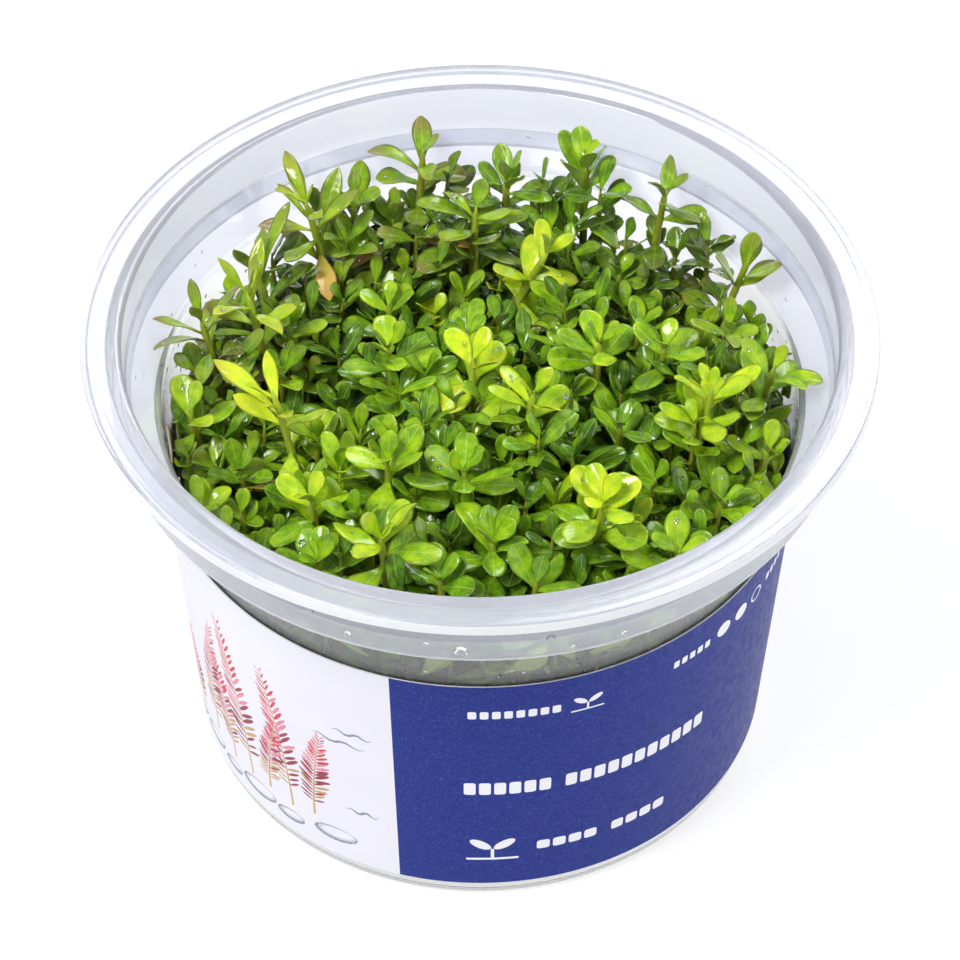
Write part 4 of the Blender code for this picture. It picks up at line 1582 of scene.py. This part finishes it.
@dataclass
class Plant:
    """The rotala: its main shoots as in the frame, and the side shoots that fill the gaps between them."""

    cup: Cup
    socket: float = 4.0 * MM
    close_clearance: float = 0.0
    wall_sprays: int = 42
    sprays: int = 250
    spray_radius: float = 38.8 * MM
    spray_gap: float = 2.8 * MM
    hollow: tuple[float, float, float] = (-18.5 * MM, 4.0 * MM, 5.0 * MM)
    spray_thickness: float = 0.5 * MM

    def main_stems(self) -> list[Stem]:
        """The stems of the frame's shoots, in their order."""
        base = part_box("gel")[1].z - self.socket
        stems = []
        for number, (tip_x, tip_y, drop, root_x, root_y, turn, habit, bright, blush) in enumerate(SHOOTS):
            root = Vector((root_x * MM, root_y * MM, base))
            tip = Vector((tip_x * MM, tip_y * MM, self.cup.height - drop * MM))
            reach = tip - root
            middle = root + Vector((reach.x * 0.05, reach.y * 0.05, reach.z * 0.5))
            stems.append(Stem(root, middle, tip, math.radians(turn), habit.value, bright, blush, owner=number))
        return stems

    def side_stems(self, mains: Sequence[Stem]) -> list[Stem]:
        """Side shoots that grow from the main stems into the gaps between their tips.

        Args:
            mains: The main stems.

        Returns:
            The side shoots' stems.
        """
        chance = random.Random(SEED)
        tips = np.array([(stem.tip.x, stem.tip.y, stem.tip.z) for stem in mains])
        stems = []
        for index in range(self.sprays):
            out = self.spray_radius * math.sqrt((index + 0.5) / self.sprays)
            angle = index * math.pi * (3.0 - math.sqrt(5.0))
            x, y = out * math.cos(angle), out * math.sin(angle)
            apart = np.hypot(tips[:, 0] - x, tips[:, 1] - y)
            if apart.min() < self.spray_gap or math.hypot(x - self.hollow[0], y - self.hollow[1]) < self.hollow[2]:
                continue
            nearest = np.argsort(apart)[:4]
            weights = 1.0 / (apart[nearest] + MM) ** 2
            level = float((tips[nearest, 2] * weights).sum() / weights.sum())
            tip = Vector((x, y, level - chance.uniform(1.0, 8.0) * MM))
            parent = min(mains, key=lambda stem: (stem.point(0.45).xy - tip.xy).length)
            root = parent.point(chance.uniform(0.22, 0.42))
            rise = tip - root
            if rise.z < 9.0 * MM:
                continue
            middle = root + Vector((rise.x * 0.75, rise.y * 0.75, rise.z * 0.35))
            # Side shoots get darker leaves than their parents, partly as painted shade inside the canopy.
            bright = min(0.75, max(0.22, parent.bright * chance.uniform(0.48, 0.88)))
            stems.append(
                Stem(
                    root,
                    middle,
                    tip,
                    chance.uniform(0.0, math.pi),
                    Habit.SPRAY.value,
                    bright,
                    parent.blush * 0.6,
                    self.spray_thickness,
                    parent.owner,
                )
            )
        return stems

    def wall_stems(self, mains: Sequence[Stem]) -> list[Stem]:
        """Side shoots that lean against the wall, whose leaves show through it above the label.

        Args:
            mains: The main stems.

        Returns:
            The side shoots' stems.
        """
        chance = random.Random(SEED + 2)
        stems = []
        for index in range(self.wall_sprays):
            angle = 2.0 * math.pi * (index + chance.uniform(-0.3, 0.3)) / self.wall_sprays
            out = chance.uniform(37.6, 39.0) * MM
            tip = Vector((out * math.cos(angle), out * math.sin(angle), chance.uniform(46.0, 54.0) * MM))
            parent = min(mains, key=lambda stem: (stem.point(0.4).xy - tip.xy).length)
            root = parent.point(chance.uniform(0.2, 0.35))
            rise = tip - root
            middle = root + Vector((rise.x * 0.85, rise.y * 0.85, rise.z * 0.35))
            bright = chance.uniform(0.45, 0.8)
            turn = angle + math.pi / 2.0
            stems.append(
                Stem(root, middle, tip, turn, Habit.SPRAY.value, bright, 0.1, self.spray_thickness, parent.owner)
            )
        return stems

    def build(self, leaf: bpy.types.Material, bark: bpy.types.Material) -> tuple[list[bpy.types.Object], Thicket]:
        """Grows every shoot and puts it in the place of its node.

        Args:
            leaf: The leaves' material.
            bark: The stems' material.

        Returns:
            One object for each shoot, and the settled stems and blades.
        """
        thicket = Thicket(self.cup)
        mains = self.main_stems()
        thicket.plant(mains)
        thicket.dress(mains, PAIRS, 0.7)
        log.info("main leaves: %d", len(thicket.blades))
        thicket.clearance = self.close_clearance
        thicket.sizes = (1.0, 0.8, 0.62)
        thicket.lifts = (1.0, 0.6)
        thicket.turns = (0.0, 18.0, -18.0)
        for leaf_on_wall in STUCK_LEAVES:
            thicket.stick(leaf_on_wall.blade(self.cup, len(mains)))
        log.info("with the leaves on the wall: %d", len(thicket.blades))
        thicket.dress(mains, BETWEEN, 1.5)
        log.info("with the leaves between them: %d", len(thicket.blades))
        sides = self.side_stems(mains) + self.wall_stems(mains)
        thicket.plant(sides)
        thicket.dress(sides, sorted((*PAIRS[:6], *BETWEEN[:5]), key=lambda pair: pair.rank), 1.3)
        log.info("with %d side shoots: %d", len(sides), len(thicket.blades))
        for spot in OLD_LEAVES:
            low = [blade for blade in thicket.blades if blade.rank >= 2.5]
            min(low, key=lambda blade: (blade.frame(0.6)[0] - Vector(spot) * MM).length).wilted = 1.0
        patches = [Patch() for _ in range(len(mains) + 1)]
        for stem in thicket.stems:
            StemSurface(stem).add_to(patches[stem.owner])
        for number, blade in enumerate(thicket.blades):
            BladeSurface(self.cup, blade, number).add_to(patches[blade.stem.owner])
        objects = [patches.pop().build("wall_leaves", [leaf])]
        for number, patch in enumerate(patches, start=1):
            obj = patch.build(f"shoot_{number:02d}_grown", [leaf, bark])
            objects.append(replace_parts(obj, f"shoot_{number:02d}"))
        return [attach(obj, "root") for obj in objects], thicket


@dataclass
class BladeSurface:
    """The finished surface of one blade: obovate, keeled along its rib, a little wavy and twisted."""

    cup: Cup
    blade: Blade
    number: int
    off_wall: float = 0.30 * MM
    stations: tuple[float, ...] = (0.0, 0.07, 0.17, 0.30, 0.43, 0.55, 0.66, 0.76, 0.85, 0.925, 0.975)
    few_stations: tuple[float, ...] = (0.0, 0.11, 0.27, 0.45, 0.61, 0.75, 0.87, 0.96)
    fine_length: float = 4.5 * MM
    hidden_rank: float = 5.0
    columns: tuple[float, ...] = (-1.0, -0.72, -0.38, 0.0, 0.38, 0.72, 1.0)
    full_at: float = 0.64
    base_width: float = 0.16
    body: float = 0.26 * MM

    def shares(self) -> tuple[float, ...]:
        """Where along the blade its rows of points lie: a short or hidden blade has fewer."""
        plain = self.blade.length < self.fine_length or self.blade.rank >= self.hidden_rank
        return self.few_stations if plain else self.stations

    def pressed(self, point: Vector) -> Vector:
        """Draws a point in where it would go through the cup's wall.

        Args:
            point: The point.

        Returns:
            The point, no nearer to the wall than a leaf that lies on it.
        """
        limit = self.cup.inner_radius(point.z) - self.off_wall
        out = math.hypot(point.x, point.y)
        share = min(1.0, limit / out) if out > 0.0 else 1.0
        return Vector((point.x * share, point.y * share, point.z))

    def half_width(self, share: float, roundness: float) -> float:
        """Half of the blade's width at this share of its length.

        Args:
            share: Share of the length.
            roundness: Power that makes the tip blunt when it is small.

        Returns:
            The half width in metres.
        """
        grow = min(1.0, share / self.full_at)
        grow = self.base_width + (1.0 - self.base_width) * grow * grow * (3.0 - 2.0 * grow)
        shrink = max(0.0, (share - self.full_at) / (1.0 - self.full_at))
        return self.blade.width / 2.0 * grow * (1.0 - shrink**2.2) ** roundness

    def add_to(self, patch: Patch) -> None:
        """Adds the blade's closed surface to its shoot.

        Args:
            patch: The shoot's gathered surfaces.
        """
        blade = self.blade
        chance = random.Random(self.number * 7919 + SEED)
        fold = chance.uniform(-0.12, 0.38)
        wave = chance.uniform(0.0, 0.24) * MM
        phase = chance.uniform(0.0, 6.28)
        twist = math.radians(chance.gauss(0.0, 18.0))
        roundness = blade.stem.growth.point * chance.uniform(0.9, 1.1)
        top, low, uvs = [], [], []
        shares = self.shares()
        for share in shares:
            point, up = blade.frame(share)
            forward = blade.across.cross(up)
            spin = Matrix.Rotation(twist * share, 3, forward)
            across, rise = spin @ blade.across, spin @ up
            half = self.half_width(share, roundness)
            taper = min(1.0, share / 0.12) * (1.0 - 0.5 * share)
            for column in self.columns:
                lift = fold * half * abs(column) ** 1.4
                lift += wave * math.sin(share * 9.0 + phase + column) * column * column
                lift -= 0.05 * MM * math.exp(-((column / 0.2) ** 2))
                thick = self.body * taper * math.sqrt(max(0.0, 1.0 - column * column))
                rib = 0.10 * MM * taper * math.exp(-((column / 0.2) ** 2))
                middle = self.pressed(point + across * (half * column) + rise * lift)
                top.append(middle + rise * (thick / 2.0))
                low.append(middle - rise * (thick / 2.0 + rib))
                uvs.append((column / 2.0 + 0.5, share))
        tip_point, tip_up = blade.frame(1.0)
        rows, wide = len(shares), len(self.columns)
        inner = [row * wide + col for row in range(1, rows) for col in range(1, wide - 1)]
        below = {index: rows * wide + order for order, index in enumerate(inner)}
        tip = rows * wide + len(inner)
        points = top + [low[index] for index in inner] + [self.pressed(tip_point + tip_up * (fold * 0.02 * MM))]
        faces: list[tuple[int, ...]] = []
        for row, col in itertools.product(range(rows - 1), range(wide - 1)):
            a, b = row * wide + col, row * wide + col + 1
            c, d = b + wide, a + wide
            faces.append((d, c, b, a))
            faces.append(tuple(below.get(index, index) for index in (a, b, c, d)))
        last = (rows - 1) * wide
        for col in range(wide - 1):
            a, b = last + col, last + col + 1
            faces.append((tip, b, a))
            faces.append((below.get(a, a), below.get(b, b), tip))
        age = self.age(chance)
        tints = np.zeros((len(points), 4))
        tints[:, 0] = age
        tints[:, 1] = min(1.0, blade.stem.blush * chance.uniform(0.6, 1.25) + chance.uniform(0.0, 0.08))
        tints[rows * wide : tip, 2] = 1.0
        tints[:, 3] = 1.0 - blade.wilted
        corners = np.array(uvs + [uvs[index] for index in inner] + [(0.5, 1.0)])
        patch.add(np.array(points), faces, 0, tints, corners)

    def age(self, chance: random.Random) -> float:
        """How young the blade looks, and partly painted shade: from 0 for dark, old or deeply shaded to 1 for the
        brightest tips.

        Args:
            chance: The blade's own random numbers.

        Returns:
            The value.
        """
        # Lower pairs are darker, partly for age and partly as painted shade deep in the canopy.
        fall = max(0.25, 1.0 - 0.13 * max(0.0, self.blade.rank - 1.0))
        return max(0.04, min(1.0, self.blade.stem.bright * fall + chance.uniform(-0.12, 0.10)))


@dataclass
class StemSurface:
    """The finished surface of one stem: a round tube that swells at its nodes and ends in a small bud."""

    stem: Stem
    sides: int = 7
    step: float = 1.3 * MM

    def radius(self, share: float, drops: Sequence[float]) -> float:
        """The stem's radius there.

        Args:
            share: Share of the way from root to tip.
            drops: Where its nodes are, below the tip.

        Returns:
            The radius in metres.
        """
        below = (1.0 - share) * self.stem.length
        plain = self.stem.thickness * (1.0 - 0.4 * share**3) * 0.86
        swell = sum(math.exp(-(((below - drop) / (0.55 * MM)) ** 2)) for drop in drops)
        taper = min(1.0, 0.25 + below / (2.2 * MM))
        return plain * (1.0 + 0.22 * min(1.0, swell)) * taper

    def add_to(self, patch: Patch) -> None:
        """Adds the stem's closed surface to its shoot.

        Args:
            patch: The shoot's gathered surfaces.
        """
        stem = self.stem
        rings = max(12, round(stem.length / self.step))
        drops = [stem.pair_drop(pair) for pair in PAIRS]
        points, tints = [], []
        for ring in range(rings + 1):
            share = ring / rings
            radius = self.radius(share, drops)
            for side in range(self.sides):
                out = stem.side(share, stem.turn + 2.0 * math.pi * side / self.sides)
                points.append(stem.point(share) + out * radius)
                # The shoot's brightness, partly painted shade, also darkens its stem.
                tints.append((0.15 + 0.85 * share * (0.45 + 0.55 * stem.bright), 0.0, 0.0, 1.0))
        faces: list[tuple[int, ...]] = []
        for ring, side in itertools.product(range(rings), range(self.sides)):
            a = ring * self.sides + side
            b = ring * self.sides + (side + 1) % self.sides
            faces.append((a, b, b + self.sides, a + self.sides))
        faces.append(tuple(reversed(range(self.sides))))
        faces.append(tuple(rings * self.sides + side for side in range(self.sides)))
        patch.add(np.array(points), faces, 1, np.array(tints), np.zeros((len(points), 2)))


@dataclass
class RootHairs:
    """Fine white roots that leave the stems low down and bend into the gel."""

    count: int = 46
    radius: float = 0.09 * MM
    sides: int = 5
    steps: int = 10
    off_wall: float = 0.8 * MM

    def build(self, cup: Cup, stems: Sequence[Stem], finish: bpy.types.Material) -> bpy.types.Object:
        """Grows the roots.

        Args:
            cup: The cup, whose wall they stay clear of.
            stems: The stems that they leave.
            finish: Their material.

        Returns:
            The roots' object.
        """
        chance = random.Random(SEED + 5)
        patch = Patch()
        gel_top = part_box("gel")[1].z
        for number in range(self.count):
            stem = stems[number % len(stems)]
            share = chance.uniform(0.14, 0.34)
            start = stem.point(share)
            angle = chance.uniform(0.0, 2.0 * math.pi)
            out = Vector((math.cos(angle), math.sin(angle), 0.0))
            reach = chance.uniform(2.5, 6.0) * MM
            if (start + out * reach).xy.length > cup.inner_radius(gel_top) - self.off_wall:
                out = -out
            knee = start + out * reach * 0.7 + Vector((0.0, 0.0, 1.2 * MM))
            end = Vector((start.x + out.x * reach, start.y + out.y * reach, gel_top - 1.0 * MM))
            self.hair(patch, start, knee, end)
        obj = patch.build("root_hairs", [finish])
        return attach(obj, "root")

    def hair(self, patch: Patch, start: Vector, knee: Vector, end: Vector) -> None:
        """Adds one root.

        Args:
            patch: The gathered roots.
            start: Where it leaves the stem.
            knee: The point that it bends towards.
            end: Where it enters the gel.
        """
        points = []
        for step in range(self.steps + 1):
            share = step / self.steps
            point = start.lerp(knee, share).lerp(knee.lerp(end, share), share)
            forward = (knee.lerp(end, share) - start.lerp(knee, share)).normalized()
            side = forward.orthogonal().normalized()
            other = forward.cross(side)
            for corner in range(self.sides):
                angle = 2.0 * math.pi * corner / self.sides
                points.append(point + (side * math.cos(angle) + other * math.sin(angle)) * self.radius)
        faces: list[tuple[int, ...]] = []
        for step, corner in itertools.product(range(self.steps), range(self.sides)):
            a = step * self.sides + corner
            b = step * self.sides + (corner + 1) % self.sides
            faces.append((a, b, b + self.sides, a + self.sides))
        faces.append(tuple(reversed(range(self.sides))))
        faces.append(tuple(self.steps * self.sides + corner for corner in range(self.sides)))
        patch.add(np.array(points), faces, 0, np.ones((len(points), 4)), np.zeros((len(points), 2)))


# The large drops outside: an angle from the front in degrees, a height and a radius in millimetres.
OUTER_DROPS = (
    (-34.0, 61.4, 0.50),
    (-26.0, 61.0, 0.60),
    (-20.0, 58.6, 0.55),
    (-8.0, 59.4, 0.40),
    (-2.8, 58.6, 0.85),
    (10.5, 60.2, 0.60),
    (14.0, 58.0, 0.30),
    (17.5, 47.4, 0.30),
    (22.0, 58.2, 0.40),
    (28.0, 61.6, 0.55),
    (3.5, 47.2, 0.28),
    (-13.0, 47.0, 0.25),
)


@dataclass
class Drops:
    """Water drops on the leaves, and the mist inside the cup's wall."""

    on_leaves: int = 340
    on_wall: int = 170
    rings: int = 4
    sides: int = 10

    def cap(self, patch: Patch, centre: Vector, normal: Vector, radius: float, height: float) -> None:
        """Adds one drop: a low dome on a surface, closed below.

        Args:
            patch: The gathered drops.
            centre: Where it sits.
            normal: The surface's direction there.
            radius: Its radius.
            height: How far it stands up.
        """
        side = normal.orthogonal().normalized()
        other = normal.cross(side)
        points = [centre - normal * (0.06 * height)]
        for ring in range(self.rings):
            tilt = math.pi / 2.0 * ring / self.rings
            for corner in range(self.sides):
                angle = 2.0 * math.pi * corner / self.sides
                flat = (side * math.cos(angle) + other * math.sin(angle)) * (radius * math.cos(tilt))
                points.append(centre + flat + normal * (height * math.sin(tilt)))
        points.append(centre + normal * height)
        faces: list[tuple[int, ...]] = []
        for corner in range(self.sides):
            after = (corner + 1) % self.sides
            faces.append((0, 1 + after, 1 + corner))
            for ring in range(self.rings - 1):
                a, b = 1 + ring * self.sides + corner, 1 + ring * self.sides + after
                faces.append((a, b, b + self.sides, a + self.sides))
            last = 1 + (self.rings - 1) * self.sides
            faces.append((last + corner, last + after, len(points) - 1))
        patch.add(np.array(points), faces, 0, np.ones((len(points), 4)), np.zeros((len(points), 2)))

    def outside(self, patch: Patch, cup: Cup) -> None:
        """Adds the few large drops on the outside of the skirt and the wall."""
        for angle, height, radius in OUTER_DROPS:
            turn = math.radians(angle - 90.0)
            out = Vector((math.cos(turn), math.sin(turn), 0.0))
            on_skirt = height * MM > cup.height - cup.skirt_depth
            reach = cup.skirt_radius + 0.1 * MM if on_skirt else cup.wall_radius(height * MM)
            self.cap(patch, out * reach + Vector((0.0, 0.0, height * MM)), out, radius * MM, radius * 0.30 * MM)

    def build(self, cup: Cup, thicket: Thicket, finish: bpy.types.Material) -> bpy.types.Object:
        """Places the drops.

        Args:
            cup: The cup.
            thicket: The settled blades.
            finish: The water.

        Returns:
            The drops' object.
        """
        chance = random.Random(SEED + 11)
        patch = Patch()
        level = cup.height - 20.0 * MM
        wet = [blade for blade in thicket.blades if blade.rank >= 1 and blade.start.z > level and blade.width > 2 * MM]
        for _ in range(self.on_leaves):
            blade = chance.choice(wet)
            share = chance.uniform(0.35, 0.85)
            point, up = blade.frame(share)
            if up.z < 0.2:
                continue
            radius = chance.uniform(0.14, 0.46) * MM
            across = blade.across * (blade.width * chance.uniform(-0.26, 0.26))
            self.cap(patch, point + across + up * (0.12 * MM), up, radius, radius * chance.uniform(0.5, 0.8))
        for _ in range(self.on_wall):
            angle = chance.choice((chance.uniform(150.0, 215.0), chance.uniform(-35.0, 30.0), chance.uniform(0.0, 360.0)))
            height = cup.height - chance.uniform(7.0, 21.0) * MM
            out = Vector((math.cos(math.radians(angle)), math.sin(math.radians(angle)), 0.0))
            radius = chance.uniform(0.10, 0.30) * MM
            centre = out * cup.inner_radius(height) + Vector((0.0, 0.0, height))
            self.cap(patch, centre, -out, radius, radius * 0.5)
        self.outside(patch, cup)
        obj = patch.build("water_drops", [finish])
        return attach(obj, "root")


# The studio

@dataclass(frozen=True)
class Studio:
    """The floor, the lights and the camera at the photograph's viewing angle."""

    camera_place: tuple[float, float, float] = (0.0, -432.2 * MM, 491.9 * MM)
    camera_pitch: float = 46.308
    lens: float = 180.0
    floor_size: float = 3.0
    floor_colour: Colour = (0.36, 0.36, 0.37)
    floor_glow: float = 0.68
    sky: float = 0.34

    def floor(self) -> None:
        """Lays a plain pale floor under the cup."""
        half = self.floor_size / 2.0
        points = np.array([(-half, -half, 0.0), (half, -half, 0.0), (half, half, 0.0), (-half, half, 0.0)])
        sheet = Sheet("studio_floor")
        sheet.set(Roughness=0.7, Specular_IOR_Level=0.2)
        sheet.set(Emission_Color=(1.0, 1.0, 1.0, 1.0), Emission_Strength=self.floor_glow)
        grain = sheet.spread(sheet.noise(60.0, 4.0), 0.3, 0.7, 0.0, 1.0)
        sheet.to_base(sheet.mix(grain, self.floor_colour, tuple(value * 1.03 for value in self.floor_colour)))
        obj = mesh_object("floor", points, [(0, 1, 2, 3)], [sheet.material])

    def light(self, name: str, place: tuple[float, float, float], size: float, power: float) -> None:
        """Hangs a soft square light that faces the cup.

        Args:
            name: The light's name.
            place: Where it hangs.
            size: Its side.
            power: Its power in watts.
        """
        data = bpy.data.lights.new(name, "AREA")
        data.shape = "SQUARE"
        data.size = size
        data.energy = power
        obj = bpy.data.objects.new(name, data)
        obj.location = place
        obj.rotation_euler = (Vector((0.0, 0.0, 0.04)) - Vector(place)).to_track_quat("-Z", "Y").to_euler()
        bpy.context.scene.collection.objects.link(obj)

    def build(self) -> None:
        """Sets up the floor, the sky, the lights and the camera."""
        self.floor()
        world = bpy.data.worlds.new("studio")
        world.use_nodes = True
        background = world.node_tree.nodes["Background"]
        background.inputs["Color"].default_value = (0.97, 0.98, 1.0, 1.0)
        background.inputs["Strength"].default_value = self.sky
        bpy.context.scene.world = world
        bpy.context.scene.view_settings.view_transform = "Standard"
        self.light("key", (-0.35, -0.30, 0.75), 0.30, 6.0)
        self.light("back", (0.25, 0.50, 0.65), 0.40, 3.2)
        self.light("fill", (0.60, -0.25, 0.45), 0.50, 1.8)
        data = bpy.data.cameras.new("camera")
        data.lens = self.lens
        data.sensor_width = 36.0
        camera = bpy.data.objects.new("camera", data)
        camera.location = self.camera_place
        camera.rotation_euler = (math.radians(90.0 - self.camera_pitch), 0.0, 0.0)
        bpy.context.scene.collection.objects.link(camera)
        bpy.context.scene.camera = camera


def clear_startup() -> None:
    """Removes the startup scene's own objects."""
    for obj in list(bpy.data.objects):
        bpy.data.objects.remove(obj)


def main() -> None:
    """Builds the part's looks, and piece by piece."""
    logging.basicConfig(level=logging.INFO, format="%(name)s: %(message)s")
    clear_startup()
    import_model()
    Studio().build()
    cup = Cup()
    plastics = (
        ClearPlastic("clear_wall", 0.95, (0.965, 0.980, 1.0), haze=0.045),
        ClearPlastic("milky_rim", 0.76, (0.885, 0.900, 1.0), haze=0.12),
        # Grey, half-clear plastic on the foot band: painted shade.
        ClearPlastic("painted_shade_foot", 0.30, (0.52, 0.515, 0.52)),
        # Whiter, less clear plastic on the lip and skirt edges: painted highlight.
        ClearPlastic("painted_highlight_edge", 0.35, (0.95, 0.96, 1.0)),
    )
    cup.build([plastic.make() for plastic in plastics])
    log.info("cup")
    label = Label().build(cup)
    log.info("label: %d faces", len(label.data.polygons))
    shoots, thicket = Plant(cup).build(LeafSkin().make(), StemSkin().make())
    log.info("shoots: %d pieces, %d faces", len(shoots), sum(len(obj.data.polygons) for obj in shoots))
    mains = thicket.stems[: len(SHOOTS)]
    GelBed().build(cup, mains, Gel().make())
    log.info("gel bed")
    RootHairs().build(cup, mains, RootSkin().make())
    drops = Drops().build(cup, thicket, Water().make())
    log.info("drops: %d faces", len(drops.data.polygons))


if __name__ == "__main__":
    main()
